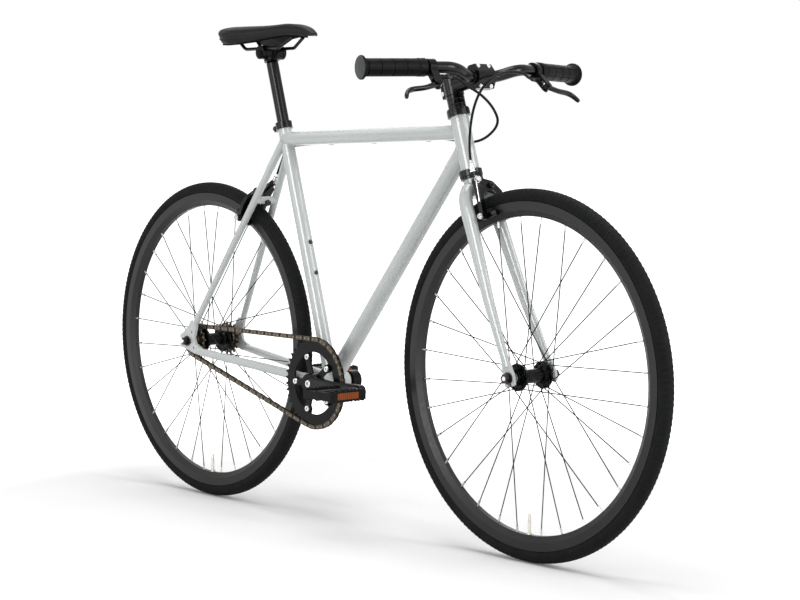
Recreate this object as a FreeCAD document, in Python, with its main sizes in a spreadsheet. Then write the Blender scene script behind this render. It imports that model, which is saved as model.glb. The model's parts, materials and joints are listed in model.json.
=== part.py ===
import FreeCAD, Part
import math
import operator
import os
import types
import Sketcher

# A single-speed bicycle with a fixed cog, in millimetres.
# +X is forward, +Y is the rider's left and +Z is up.
# The origin lies on the ground, in the mid-plane, halfway between the two axles.

SIZES = {
    # wheels
    "wheelbase": 980,
    "tyre_radius": 340,
    "tyre_width": 28,
    "tyre_wall": 2.4,
    "rim_outer_radius": 317,
    "rim_inner_radius": 290,
    "rim_width": 24,
    "rim_wall": 2,
    "rim_bed_depth": 6,
    "rim_nose_width": 10,
    "tube_wall": 1,
    "spokes_per_set": 8,
    "spoke_crossings": 3,
    "spoke_diameter": 2,
    "nipple_diameter": 4,
    "nipple_length": 12,
    "valve_diameter": 6,
    "valve_length": 38,
    # hubs and axles
    "hub_bore_radius": 9,
    "hub_barrel_radius": 13,
    "hub_end_radius": 15,
    "flange_thickness": 3,
    "front_flange_radius": 25,
    "front_flange_spacing": 64,
    "front_shell_length": 82,
    "front_hub_width": 100,
    "front_axle_diameter": 9,
    "front_axle_length": 136,
    "rear_flange_radius": 29,
    "rear_flange_spacing": 56,
    "rear_shell_length": 106,
    "rear_hub_width": 120,
    "rear_axle_diameter": 10,
    "rear_axle_length": 164,
    "cog_seat_radius": 17.4,
    "lockring_seat_radius": 16.4,
    "flange_edge": 4.5,
    "locknut_radius": 8.5,
    "axle_nut_size": 15,
    "axle_nut_height": 9,
    "axle_washer_radius": 11,
    "axle_washer_thickness": 2,
    # drive
    "chain_pitch": 12.7,
    "chain_links": 96,
    "chainring_teeth": 44,
    "cog_teeth": 16,
    "freewheel_teeth": 16,
    "chain_line": 45,
    "roller_diameter": 7.7,
    "chain_pin_diameter": 3.6,
    "chain_inner_width": 3.5,
    "chain_plate_thickness": 1,
    "chain_plate_height": 8.4,
    "sprocket_thickness": 3,
    "chainring_inner_radius": 63,
    "chainring_bolt_circle": 110,
    "chainring_bolts": 5,
    "chainring_bolt_radius": 4.5,
    "spider_thickness": 4.5,
    "spider_tab_radius": 8.5,
    "crank_length": 170,
    "crank_boss_radius": 20,
    "crank_boss_face": 62,
    "crank_boss_depth": 21,
    "crank_arm_root": 30,
    "crank_arm_tip": 26,
    "crank_arm_thickness": 13,
    "crank_tread": 77,
    "crank_bolt_radius": 7.5,
    "spindle_radius": 8.5,
    "spindle_square": 12.7,
    "pedal_length": 92,
    "pedal_width": 84,
    "pedal_height": 22,
    "pedal_spindle_radius": 5,
    "pedal_barrel_radius": 10,
    "pedal_bar_width": 9,
    "reflector_length": 52,
    "reflector_height": 13,
    "reflector_depth": 2.5,
    # frame
    "bb_drop": 58,
    "bb_shell_radius": 20,
    "bb_shell_width": 68,
    "bb_bore_radius": 17,
    "bb_lip_thickness": 3,
    "seat_angle": 73.4,
    "seat_tube_length": 545,
    "seat_tube_diameter": 28.6,
    "head_angle": 73,
    "head_tube_length": 105,
    "head_tube_diameter": 36,
    "head_tube_wall": 2.2,
    "top_tube_diameter": 28.6,
    "top_tube_rear_drop": 34,
    "top_tube_front_drop": 30,
    "down_tube_diameter": 33,
    "down_tube_front_rise": 44,
    "tube_thickness": 1.2,
    "seat_stay_top_diameter": 16,
    "seat_stay_end_diameter": 13,
    "seat_stay_drop": 40,
    "seat_stay_top_spread": 10,
    "chain_stay_root_diameter": 20,
    "chain_stay_end_diameter": 16,
    "chain_stay_root_spread": 20.5,
    "stay_wall": 1.2,
    "dropout_thickness": 6,
    "eyelet_diameter": 5,
    "bridge_diameter": 16,
    "stay_bridge_diameter": 12,
    "stay_bridge_reach": 48,
    "collar_height": 14,
    "collar_thickness": 3,
    "bottle_bolt_spacing": 64,
    "bottle_bolt_height": 224,
    "bolt_radius": 2.5,
    "bolt_head_radius": 4.4,
    # fork and steering
    "fork_length": 389,
    "fork_rake": 45,
    "steerer_radius": 14.3,
    "steerer_wall": 2,
    "crown_radius": 17,
    "crown_depth": 46,
    "blade_top_width": 30,
    "blade_top_thickness": 22,
    "blade_tip_width": 17,
    "blade_tip_thickness": 12,
    "blade_wall": 1.6,
    "fork_tip_thickness": 6,
    "headset_cup_height": 12,
    "headset_cup_radius": 22,
    "headset_race_radius": 18.5,
    "spacer_height": 9.5,
    "spacer_count": 3,
    "spacer_radius": 17,
    "stem_clamp_height": 38,
    "stem_clamp_radius": 18,
    "stem_length": 78,
    "stem_rise": 11,
    "stem_tube_radius": 15,
    "bar_clamp_width": 42,
    "bar_clamp_height": 46,
    "bar_clamp_radius": 12.7,
    "bar_radius": 11.1,
    "bar_wall": 2,
    "bar_half_width": 266,
    "bar_rise": 15.4,
    "bar_bend_reach": 80,
    "bar_bend_forward": 16.6,
    "bar_sweep": 13,
    "grip_length": 127,
    "grip_radius": 16,
    "grip_flange_radius": 22,
    "grip_flange_thickness": 5,
    # seat
    "seatpost_diameter": 25.4,
    "seatpost_wall": 2.2,
    "seatpost_insertion": 125,
    "seatpost_exposed": 132,
    "saddle_length": 264,
    "saddle_width": 143,
    "saddle_set_back": 117,
    "rail_diameter": 7,
    "rail_spread": 22,
    "rail_height": 15,
    # brakes
    "brake_pivot_radius": 360,
    "brake_pad_radius": 303,
    "brake_pad_gap": 2.4,
    "brake_pad_length": 50,
    "brake_pad_height": 10,
    "brake_pad_thickness": 8,
    "brake_arm_thickness": 8,
    "brake_arm_width": 11,
    "brake_bolt_radius": 3,
    "lever_length": 82,
    "lever_reach": 42,
    "lever_clamp_width": 14,
    "lever_clamp_radius": 15.5,
    "lever_drop_angle": 45,
    "lever_open_angle": 15,
    "lever_thickness": 9,
    "cable_diameter": 5,
    # fits
    "running_clearance": 0.06,
    "seat_clearance": 0.05,
    "moving_gap": 0.3,
}


class Size:
    """A length that carries its value and its formula in the sheet."""

    def __init__(self, value, text):
        self.value = float(value)
        self.text = text

    def __float__(self):
        return self.value

    def __add__(self, other):
        return joined(self, "+", other)

    def __radd__(self, other):
        return joined(other, "+", self)

    def __sub__(self, other):
        return joined(self, "-", other)

    def __rsub__(self, other):
        return joined(other, "-", self)

    def __mul__(self, other):
        return joined(self, "*", other)

    def __rmul__(self, other):
        return joined(other, "*", self)

    def __truediv__(self, other):
        return joined(self, "/", other)

    def __neg__(self):
        return joined(0, "-", self)


OPERATIONS = {"+": operator.add, "-": operator.sub, "*": operator.mul, "/": operator.truediv}


def formula(value):
    return value.text if isinstance(value, Size) else repr(float(value))


def joined(left, sign, right):
    value = OPERATIONS[sign](float(left), float(right))
    return Size(value, f"({formula(left)} {sign} {formula(right)})")


doc = FreeCAD.newDocument("FixedGearBike")
sheet = doc.addObject("Spreadsheet::Sheet", "Sizes")
for row, (name, value) in enumerate(SIZES.items(), 1):
    sheet.set(f"A{row}", name)
    sheet.set(f"B{row}", str(value))
    sheet.setAlias(f"B{row}", name)
doc.recompute()
s = types.SimpleNamespace(**{name: Size(value, f"Sizes.{name}") for name, value in SIZES.items()})

Vector = FreeCAD.Vector
FORWARD = Vector(1, 0, 0)
LEFT = Vector(0, 1, 0)
UP = Vector(0, 0, 1)
SIDES = {"right": -1, "left": 1}
nodes = []


# helpers: placing

def unit(vector):
    return vector / vector.Length


def placed(origin, x_axis, z_axis):
    """A placement whose Z axis is exact and whose X axis is as near as it can be."""
    z = unit(z_axis)
    y = unit(z.cross(x_axis))
    x = y.cross(z)
    return FreeCAD.Placement(FreeCAD.Matrix(
        x.x, y.x, z.x, origin.x,
        x.y, y.y, z.y, origin.y,
        x.z, y.z, z.z, origin.z,
        0, 0, 0, 1))


def along(origin, direction):
    side = FORWARD if abs(unit(direction).x) < 0.9 else UP
    return placed(origin, side, direction)


def turned_in_plane(angle):
    """A unit vector in the X-Z plane, at an angle in degrees above forward."""
    return Vector(math.cos(math.radians(angle)), 0, math.sin(math.radians(angle)))


# helpers: features

def add(kind, name):
    return doc.addObject(kind, name)


def bind(feature, **values):
    for key, value in values.items():
        setattr(feature, key, float(value))
        if isinstance(value, Size):
            feature.setExpression(key, value.text)
    return feature


def cylinder(name, origin, direction, radius, height):
    feature = bind(add("Part::Cylinder", name), Radius=radius, Height=height)
    feature.Placement = along(origin, direction)
    return feature


def rod(name, start, end, radius):
    return cylinder(name, start, end - start, radius, (end - start).Length)


def tapered(name, start, end, start_radius, end_radius):
    """A round bar that narrows faster and faster towards its end, turned in five lengths."""
    length = (end - start).Length
    shares = (0, 0.15, 0.4, 0.65, 0.87, 1)
    edge = [(start_radius - (start_radius - end_radius) * share ** 1.4, length * share) for share in shares]
    return turned(name, along(start, end - start), [(0, 0)] + edge + [(0, length)])


def shared(name, base, tool):
    """What two shapes have in common."""
    feature = add("Part::Common", name)
    feature.Base = base
    feature.Tool = tool
    return feature


def box(name, placement, low, high):
    """A box between two corners of a local frame."""
    feature = bind(add("Part::Box", name), Length=high[0] - low[0], Width=high[1] - low[1],
                   Height=high[2] - low[2])
    corner = Vector(*[float(value) for value in low])
    feature.Placement = placement.multiply(FreeCAD.Placement(corner, FreeCAD.Rotation()))
    return feature


def cut(name, base, *tools):
    feature = add("Part::Cut", name)
    feature.Base = base
    feature.Tool = tools[0] if len(tools) == 1 else joined_up(f"{name}_tools", *tools)
    return feature


def joined_up(name, *shapes):
    feature = add("Part::MultiFuse", name)
    feature.Shapes = list(shapes)
    feature.Refine = True
    return feature


def together(name, *shapes):
    feature = add("Part::Compound", name)
    feature.Links = list(shapes)
    return feature


def copies(name, source, placements):
    """Copies of one solid, each moved by its own placement."""
    doc.recompute()
    feature = add("Part::Feature", name)
    solids = []
    for placement in placements:
        solids.append(source.Shape.transformed(placement.toMatrix(), True))
    feature.Shape = Part.makeCompound(solids)
    return feature


def node(label, feature):
    feature.Label = label
    nodes.append(feature)
    return feature


# helpers: sketches

def outline(sketch, points):
    """A closed outline; a third entry in a point is where an arc to the next point passes."""
    start = sketch.GeometryCount
    count = len(points)
    corners = [Vector(float(point[0]), float(point[1]), 0) for point in points]
    ends = []
    for index, point in enumerate(points):
        here, following = corners[index], corners[(index + 1) % count]
        ends.append((1, 2))
        if len(point) == 2:
            sketch.addGeometry(Part.LineSegment(here, following), False)
            continue
        middle = Vector(float(point[2][0]), float(point[2][1]), 0)
        if (middle - here).cross(following - middle).z < 0:
            here, following = following, here
            ends[index] = (2, 1)
        sketch.addGeometry(Part.Arc(here, middle, following), False)
    for index in range(count):
        following = (index + 1) % count
        sketch.addConstraint(Sketcher.Constraint(
            "Coincident", start + index, ends[index][1], start + following, ends[following][0]))
    for index, point in enumerate(points):
        for kind, value in (("DistanceX", point[0]), ("DistanceY", point[1])):
            fix(sketch, kind, start + index, ends[index][0], value)
        if len(point) == 3:
            fix_centre(sketch, start + index, corners[(index + 1) % count] - corners[index])


def fix(sketch, kind, edge, end, value):
    if float(value) == 0:
        axis = -2 if kind == "DistanceX" else -1
        sketch.addConstraint(Sketcher.Constraint("PointOnObject", edge, end, axis))
        return
    index = sketch.addConstraint(Sketcher.Constraint(kind, -1, 1, edge, end, float(value)))
    if isinstance(value, Size):
        sketch.setExpression(f"Constraints[{index}]", value.text)


def fix_centre(sketch, edge, chord):
    """With both its ends held, an arc needs one more number: how far off its chord the centre lies."""
    centre = sketch.Geometry[edge].Center
    if abs(chord.y) > abs(chord.x):
        fix(sketch, "DistanceX", edge, 3, 0 if abs(centre.x) < 1e-9 else centre.x)
    else:
        fix(sketch, "DistanceY", edge, 3, 0 if abs(centre.y) < 1e-9 else centre.y)


def new_sketch(body, plane, name):
    sketch = body.newObject("Sketcher::SketchObject", name)
    support = [item for item in body.Origin.OriginFeatures if item.Role == plane][0]
    sketch.AttachmentSupport = (support, [""])
    sketch.MapMode = "FlatFace"
    return sketch


def turned(name, placement, *profiles):
    """A body turned about its own Z axis from profiles of (radius, height) points."""
    body = add("PartDesign::Body", name)
    sketch = new_sketch(body, "XZ_Plane", f"{name}_profile")
    for profile in profiles:
        outline(sketch, profile)
    revolution = body.newObject("PartDesign::Revolution", f"{name}_turning")
    revolution.Profile = sketch
    revolution.ReferenceAxis = (sketch, ["V_Axis"])
    revolution.Angle = 360
    body.Placement = placement
    return body


def plate(name, placement, thickness, *outlines):
    """A body padded along its own Z axis."""
    body = add("PartDesign::Body", name)
    sketch = new_sketch(body, "XY_Plane", f"{name}_outline")
    for points in outlines:
        outline(sketch, points)
    pad = body.newObject("PartDesign::Pad", f"{name}_pad")
    pad.Profile = sketch
    bind(pad, Length=thickness)
    body.Placement = placement
    return body


def ring(name, placement, inner, outer, low, high):
    return turned(name, placement, [(inner, low), (outer, low), (outer, high), (inner, high)])


# helpers: bent rods

def rounded_wire(points, radii):
    """Straight runs joined by tangent arcs of the given radii."""
    edges = []
    last = points[0]
    for index in range(1, len(points) - 1):
        corner = points[index]
        before = unit(points[index - 1] - corner)
        after = unit(points[index + 1] - corner)
        half = before.getAngle(after) / 2
        trim = radii[index - 1] / math.tan(half)
        start = corner + before * trim
        end = corner + after * trim
        bisector = unit(before + after)
        middle = corner + bisector * (radii[index - 1] / math.sin(half) - radii[index - 1])
        edges.append(Part.LineSegment(last, start).toShape())
        edges.append(Part.Arc(start, middle, end).toShape())
        last = end
    edges.append(Part.LineSegment(last, points[-1]).toShape())
    return Part.Wire(edges)


def widest_radii(points, share=0.45):
    """The largest arcs that the runs beside each corner allow."""
    radii = []
    for index in range(1, len(points) - 1):
        before = points[index] - points[index - 1]
        after = points[index + 1] - points[index]
        half_turn = before.getAngle(after) / 2
        radii.append(share * min(before.Length, after.Length) / math.tan(half_turn))
    return radii


def bent_rod(name, points, radius, radii):
    """A round rod swept along a route of runs and arcs."""
    route = add("Part::Feature", f"{name}_route")
    route.Shape = rounded_wire(points, radii)
    section = bind(add("Part::Circle", f"{name}_section"), Radius=radius)
    section.Placement = along(points[0], points[1] - points[0])
    sweep = add("Part::Sweep", name)
    sweep.Sections = [section]
    sweep.Spine = (route, [f"Edge{index + 1}" for index in range(len(route.Shape.Edges))])
    sweep.Solid = True
    doc.recompute()
    expected = math.pi * float(radius) ** 2 * route.Shape.Length
    if abs(sweep.Shape.Volume / expected - 1) > 0.01:
        raise ValueError(f"{name}: swept volume differs from its section times its length")
    return sweep


def cable(name, points):
    """A cable housing with arcs as large as its runs allow."""
    radii = widest_radii(points)
    print(name, "bend radii", [round(radius, 1) for radius in radii])
    return bent_rod(name, points, s.cable_diameter / 2, radii)


# the main points of the bicycle

rear_axle = Vector(-s.wheelbase / 2, 0, s.tyre_radius)
front_axle = Vector(s.wheelbase / 2, 0, s.tyre_radius)


def pitch_radius(teeth):
    return float(s.chain_pitch) / 2 / math.sin(math.pi / float(teeth))


def wrap_angle(span):
    """How far the chain's straight runs lean from the line between the two centres."""
    return math.asin((pitch_radius(s.chainring_teeth) - pitch_radius(s.cog_teeth)) / span)


def links_round(span):
    lean = wrap_angle(span)
    straight = span * math.cos(lean)
    wrapped = float(s.chainring_teeth) * (math.pi + 2 * lean) + float(s.cog_teeth) * (math.pi - 2 * lean)
    return 2 * straight / float(s.chain_pitch) + wrapped / (2 * math.pi)


def chain_span():
    """The distance between the sprocket centres at which the chain just closes."""
    low = pitch_radius(s.chainring_teeth) + pitch_radius(s.cog_teeth)
    high = float(s.chain_links) * float(s.chain_pitch)
    for step in range(60):
        middle = (low + high) / 2
        if links_round(middle) < float(s.chain_links):
            low = middle
        else:
            high = middle
    return middle


span = chain_span()
bracket = Vector(rear_axle.x + math.sqrt(span ** 2 - float(s.bb_drop) ** 2), 0, s.tyre_radius - s.bb_drop)

seat_up = turned_in_plane(180 - float(s.seat_angle))
seat_top = bracket + seat_up * float(s.seat_tube_length)

steer_up = turned_in_plane(180 - float(s.head_angle))
steer_ahead = turned_in_plane(90 - float(s.head_angle))
steer_foot = front_axle - steer_ahead * float(s.fork_rake)
head_low = s.fork_length + s.headset_cup_height
head_high = head_low + s.head_tube_length
cup_high = head_high + s.headset_cup_height
stem_low = cup_high + s.spacer_count * s.spacer_height
stem_high = stem_low + s.stem_clamp_height


def on_steerer(height, ahead=0.0, across=0.0):
    return steer_foot + steer_up * float(height) + steer_ahead * float(ahead) + LEFT * float(across)


def round_steerer(height):
    return placed(on_steerer(height), steer_ahead, steer_up)


def across_bike(centre):
    """A frame at a point, with its own Z axis across the bicycle towards the left."""
    return placed(centre, FORWARD, LEFT)


# frame: the main triangle

def hollow_tube(name, start, end, diameter, wall, *tools):
    outer = rod(f"{name}_outer", start, end, diameter / 2)
    inner = rod(f"{name}_inner", start, end, diameter / 2 - wall)
    return cut(name, outer, inner, *tools)


def across_cylinder(name, centre, radius, width):
    return cylinder(name, centre - LEFT * (float(width) / 2), LEFT, radius, width)


shell_solid = across_cylinder("shell_solid", bracket, s.bb_shell_radius, s.bb_shell_width)
shell_bore = across_cylinder("shell_bore", bracket, s.bb_bore_radius, s.bb_shell_width)
bb_shell = cut("bb_shell", shell_solid, shell_bore)

seat_solid = rod("seat_solid", bracket, seat_top, s.seat_tube_diameter / 2)
seat_bore_radius = s.seatpost_diameter / 2 + s.seat_clearance
seat_bore = rod("seat_bore", bracket, seat_top, seat_bore_radius)


def bottle_bolt_point(index):
    return bracket + seat_up * (float(s.bottle_bolt_height) + index * float(s.bottle_bolt_spacing))


seat_ahead = turned_in_plane(90 - float(s.seat_angle))
boss_holes = [
    cylinder(f"boss_hole_{index}", bottle_bolt_point(index), seat_ahead, s.bolt_radius + s.seat_clearance,
             s.seat_tube_diameter)
    for index in range(2)]
seat_tube = cut("seat_tube", seat_solid, seat_bore, shell_solid, *boss_holes)

head_solid = cylinder("head_solid", on_steerer(head_low), steer_up, s.head_tube_diameter / 2, s.head_tube_length)
head_bore = cylinder("head_bore", on_steerer(head_low), steer_up,
                     s.head_tube_diameter / 2 - s.head_tube_wall, s.head_tube_length)
head_tube = cut("head_tube", head_solid, head_bore)

top_rear = seat_top - seat_up * float(s.top_tube_rear_drop)
top_front = on_steerer(head_high - s.top_tube_front_drop)
top_tube = hollow_tube("top_tube", top_rear, top_front, s.top_tube_diameter, s.tube_thickness,
                       seat_solid, head_solid)
down_front = on_steerer(head_low + s.down_tube_front_rise)
down_tube = hollow_tube("down_tube", bracket, down_front, s.down_tube_diameter, s.tube_thickness,
                        shell_solid, head_solid, seat_solid)
node("main_triangle", together("main_tubes", head_tube, top_tube, down_tube, seat_tube, bb_shell))

# frame: the rear triangle

dropout_inner = s.rear_hub_width / 2
dropout_middle = dropout_inner + s.dropout_thickness / 2
slot_half = s.rear_axle_diameter / 2 + s.seat_clearance * 4
STAY_TAB = Vector(25, 0, 36)
CHAIN_TAB = Vector(41, 0, -20)
STAY_EYELET = (17, 20)
CHAIN_EYELET = (23, -13)


def eyelet(centre):
    """A full circle as two half arcs."""
    x, z = centre
    r = s.eyelet_diameter / 2
    return [(x - r, z, (x, z + r)), (x + r, z, (x, z - r))]


def dropout(name, side):
    """A track end: a plate with a slot open to the rear and two threaded eyelets."""
    lip = 26
    slot_end = 10
    edge = [
        (-lip, slot_half), (-lip, slot_half + 8), (-14, slot_half + 13), (4, 32), (14, 45), (34, 41), (31, 26),
        (25, 8), (30, -4), (48, -12), (46, -28), (24, -25), (4, -slot_half - 14), (-lip, -slot_half - 8),
        (-lip, -slot_half), (slot_end, -slot_half, (slot_end + slot_half, 0)), (slot_end, slot_half)]
    low = dropout_inner if side > 0 else -dropout_inner - s.dropout_thickness
    placement = placed(rear_axle + LEFT * float(low), FORWARD, LEFT)
    flipped = [mirrored_point(point) for point in edge]
    holes = [[mirrored_point(point) for point in eyelet(centre)] for centre in (STAY_EYELET, CHAIN_EYELET)]
    return plate(name, placement, s.dropout_thickness, flipped, *holes)


def mirrored_point(point):
    """The plates' own Y axis points down, so heights change sign."""
    if len(point) == 3:
        return (point[0], -point[1], (point[2][0], -point[2][1]))
    return (point[0], -point[1])


bridge_reach = float(s.brake_pivot_radius)
stay_foot = rear_axle + STAY_TAB
stay_head = seat_top - seat_up * float(s.seat_stay_drop)
stay_up = unit(stay_head - stay_foot)
stay_back = Vector(-stay_up.z, 0, stay_up.x)
stay_offset = (stay_foot - rear_axle).dot(stay_back)
bridge_point = rear_axle + stay_up * bridge_reach + stay_back * stay_offset


def stay_across(point):
    """How far a seat stay's centre lies from the mid-plane at a point of its line."""
    share = (point - stay_foot).dot(stay_up) / (stay_head - stay_foot).Length
    return float(dropout_middle) + share * (float(s.seat_stay_top_spread) - float(dropout_middle))


rear_parts = []
stay_solids = []
chain_stay_solids = []
for word, side in SIDES.items():
    dropout_plate = dropout(f"dropout_{word}", side)
    low_end = stay_foot + LEFT * (side * float(dropout_middle))
    high_end = stay_head + LEFT * (side * float(s.seat_stay_top_spread))
    stay = tapered(f"seat_stay_solid_{word}", high_end, low_end,
                   s.seat_stay_top_diameter / 2, s.seat_stay_end_diameter / 2)
    stay_solids.append(stay)
    inset = unit(low_end - high_end) * float(s.seat_stay_top_diameter)
    stay_bore = tapered(f"seat_stay_bore_{word}", high_end + inset, low_end - inset * 1.5,
                        s.seat_stay_top_diameter / 2 - s.stay_wall, s.seat_stay_end_diameter / 2 - s.stay_wall)
    rear_parts.append(cut(f"seat_stay_{word}", stay, stay_bore, seat_solid, dropout_plate))
    root = bracket + LEFT * (side * float(s.chain_stay_root_spread))
    tail = rear_axle + CHAIN_TAB + LEFT * (side * float(dropout_middle))
    chain_stay = tapered(f"chain_stay_solid_{word}", root, tail,
                         s.chain_stay_root_diameter / 2, s.chain_stay_end_diameter / 2)
    chain_stay_solids.append(chain_stay)
    inset = unit(tail - root) * float(s.chain_stay_root_diameter)
    chain_bore = tapered(f"chain_stay_bore_{word}", root + inset * 1.4, tail - inset * 1.2,
                         s.chain_stay_root_diameter / 2 - s.stay_wall,
                         s.chain_stay_end_diameter / 2 - s.stay_wall)
    rear_parts.append(cut(f"chain_stay_{word}", chain_stay, chain_bore, shell_solid, dropout_plate))
    rear_parts.append(dropout_plate)

bridge_half = stay_across(bridge_point)
brake_hole = cylinder("rear_brake_hole", bridge_point - stay_back * float(s.bridge_diameter), stay_back,
                      s.brake_bolt_radius + s.seat_clearance, s.bridge_diameter * 2)
bridge_solid = across_cylinder("bridge_solid", bridge_point, s.bridge_diameter / 2, bridge_half * 2)
rear_parts.append(cut("brake_bridge", bridge_solid, brake_hole, *stay_solids))
chain_stay_line = unit(rear_axle + CHAIN_TAB - bracket)
stay_bridge_point = bracket + chain_stay_line * float(s.stay_bridge_reach)
stay_bridge_solid = across_cylinder("stay_bridge_solid", stay_bridge_point, s.stay_bridge_diameter / 2,
                                    s.chain_stay_root_spread * 2)
rear_parts.append(cut("stay_bridge", stay_bridge_solid, *chain_stay_solids))
node("rear_triangle", together("rear_tubes", *rear_parts))

# frame: headset cups, bottom bracket, collar and bolts

cups = []
for word, low in (("lower", s.fork_length), ("upper", head_high)):
    bore = s.headset_race_radius + s.running_clearance
    cups.append(ring(f"cup_{word}", round_steerer(low), bore, s.headset_cup_radius, 0, s.headset_cup_height))
node("headset_cups", together("cups", *cups))

cartridge_radius = s.bb_bore_radius - s.seat_clearance
spindle_bore = s.spindle_radius + s.running_clearance
shell_half = s.bb_shell_width / 2
lip_half = shell_half + s.bb_lip_thickness
node("bottom_bracket_cups", turned("bracket_cups", across_bike(bracket), [
    (spindle_bore, -lip_half), (s.bb_shell_radius - 1, -lip_half), (s.bb_shell_radius - 1, -shell_half),
    (cartridge_radius, -shell_half), (cartridge_radius, shell_half), (s.bb_shell_radius - 1, shell_half),
    (s.bb_shell_radius - 1, lip_half), (spindle_bore, lip_half)]))

collar_inner = s.seat_tube_diameter / 2 + s.seat_clearance
collar_outer = collar_inner + s.collar_thickness
collar_place = placed(seat_top - seat_up * float(s.collar_height - 1), seat_ahead, seat_up)
EAR_REACH = 9
EAR_HALF = 7
SLIT_HALF = 0.8
collar_ring = ring("collar_ring", collar_place, collar_inner, collar_outer, 0, s.collar_height)
collar_ear = box("collar_ear", collar_place, (-collar_outer - EAR_REACH, -EAR_HALF, 1),
                 (-collar_inner - 1, EAR_HALF, s.collar_height - 1))
collar_slit = box("collar_slit", collar_place, (-collar_outer - EAR_REACH - 1, -SLIT_HALF, -1),
                  (-collar_inner + 2, SLIT_HALF, s.collar_height + 1))
collar_bolt_point = collar_place.multVec(Vector(-collar_outer - 4, 0, s.collar_height / 2))
collar_hole = across_cylinder("collar_hole", collar_bolt_point, s.bolt_radius + s.seat_clearance, 40)
collar_bore = cylinder("collar_bore", collar_place.Base - seat_up, seat_up, collar_inner, s.collar_height + 2)
node("seat_collar", cut("collar", joined_up("collar_body", collar_ring, collar_ear), collar_slit,
                        collar_hole, collar_bore))


def bolt(name, point, direction, length, head_height=4):
    """A bolt whose head sits outside a point and whose shank runs in from it."""
    placement = along(point, direction)
    return turned(name, placement, [
        (0, -length), (s.bolt_radius, -length), (s.bolt_radius, 0), (s.bolt_head_radius, 0),
        (s.bolt_head_radius, head_height - 1), (s.bolt_head_radius - 1, head_height), (0, head_height)])


frame_bolts = [
    bolt(f"bottle_bolt_{index}", bottle_bolt_point(index) + seat_ahead * float(s.seat_tube_diameter / 2),
         seat_ahead, 5, 3)
    for index in range(2)]
frame_bolts.append(bolt("collar_bolt", collar_bolt_point - LEFT * EAR_HALF, -LEFT, 2 * EAR_HALF))
node("frame_bolts", together("frame_screws", *frame_bolts))

# wheels


def fork_of_angles(count, offset=0.0):
    return [offset + 360.0 * index / count for index in range(count)]


def spun(angle, centre):
    """A turn about the axle; positive angles lift the front of the wheel."""
    return FreeCAD.Placement(Vector(), FreeCAD.Rotation(LEFT, -angle), centre)


def rim(name, centre):
    half = s.rim_width / 2
    nose = s.rim_nose_width / 2
    shoulder = s.rim_outer_radius - 16
    bed = s.rim_outer_radius - s.rim_bed_depth
    hook = half - s.rim_wall
    cavity = half - s.rim_wall - 0.5
    cavity_top = bed - s.rim_wall
    section = [
        (s.rim_inner_radius, -nose), (s.rim_inner_radius, nose), (shoulder, half),
        (s.rim_outer_radius, half), (s.rim_outer_radius, hook), (bed, hook), (bed, -hook),
        (s.rim_outer_radius, -hook), (s.rim_outer_radius, -half), (shoulder, -half)]
    hollow_low = s.rim_inner_radius + s.rim_wall * 1.5
    hollow = [
        (hollow_low, -nose + 2), (hollow_low, nose - 2), (shoulder, cavity), (cavity_top, cavity),
        (cavity_top, -cavity), (shoulder, -cavity)]
    hoop = turned(f"{name}_hoop", across_bike(centre), section, hollow)
    hole = cylinder(f"{name}_valve_hole", centre - UP * (float(s.rim_inner_radius) - 5), -UP,
                    s.valve_diameter / 2 + s.moving_gap, s.rim_outer_radius - s.rim_inner_radius + 10)
    return cut(name, hoop, hole)


def tyre(name, centre):
    """An open tyre carcass whose two beads sit in the rim's bed."""
    outer = s.tyre_width / 2
    inner = outer - s.tyre_wall
    crown = s.tyre_radius - outer
    bead_low = s.rim_outer_radius - s.rim_bed_depth + 0.2
    bead_out = s.rim_width / 2 - s.rim_wall - 0.2
    bead_in = bead_out - s.tyre_wall
    edge = s.rim_outer_radius + 1
    drop = float(crown - edge)
    outer_edge = math.sqrt(float(outer) ** 2 - drop ** 2)
    inner_edge = math.sqrt(float(inner) ** 2 - drop ** 2)
    lip = s.rim_outer_radius + 0.4
    return turned(name, across_bike(centre), [
        (bead_low, bead_out), (lip, bead_out), (edge, outer_edge, (s.tyre_radius, 0)),
        (edge, -outer_edge), (lip, -bead_out), (bead_low, -bead_out), (bead_low, -bead_in),
        (edge, -inner_edge, (crown + inner, 0)), (edge, inner_edge), (bead_low, bead_in)])


def inner_tube(name, centre):
    """A hollow tube inside the tyre, with its valve through the rim at the bottom."""
    radius = s.tyre_width / 2 - s.tyre_wall - s.moving_gap
    crown = s.tyre_radius - s.tyre_width / 2
    outer = bind(add("Part::Torus", f"{name}_outer"), Radius1=crown, Radius2=radius)
    outer.Placement = across_bike(centre)
    hollow = bind(add("Part::Torus", f"{name}_hollow"), Radius1=crown, Radius2=radius - s.tube_wall)
    hollow.Placement = across_bike(centre)
    stem_top = crown - radius + s.tube_wall / 2
    tip = s.rim_inner_radius - s.valve_length
    stem = turned(f"{name}_valve", along(centre, -UP), [
        (0, tip), (1.6, tip), (2.2, tip + 2), (2.2, tip + 9), (s.valve_diameter / 2, tip + 10),
        (s.valve_diameter / 2, s.rim_inner_radius - 4), (5, s.rim_inner_radius - 4),
        (5, s.rim_inner_radius - 0.4), (s.valve_diameter / 2, s.rim_inner_radius - 0.4),
        (s.valve_diameter / 2, stem_top), (0, stem_top)])
    return cut(name, joined_up(f"{name}_whole", outer, stem), hollow)


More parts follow.
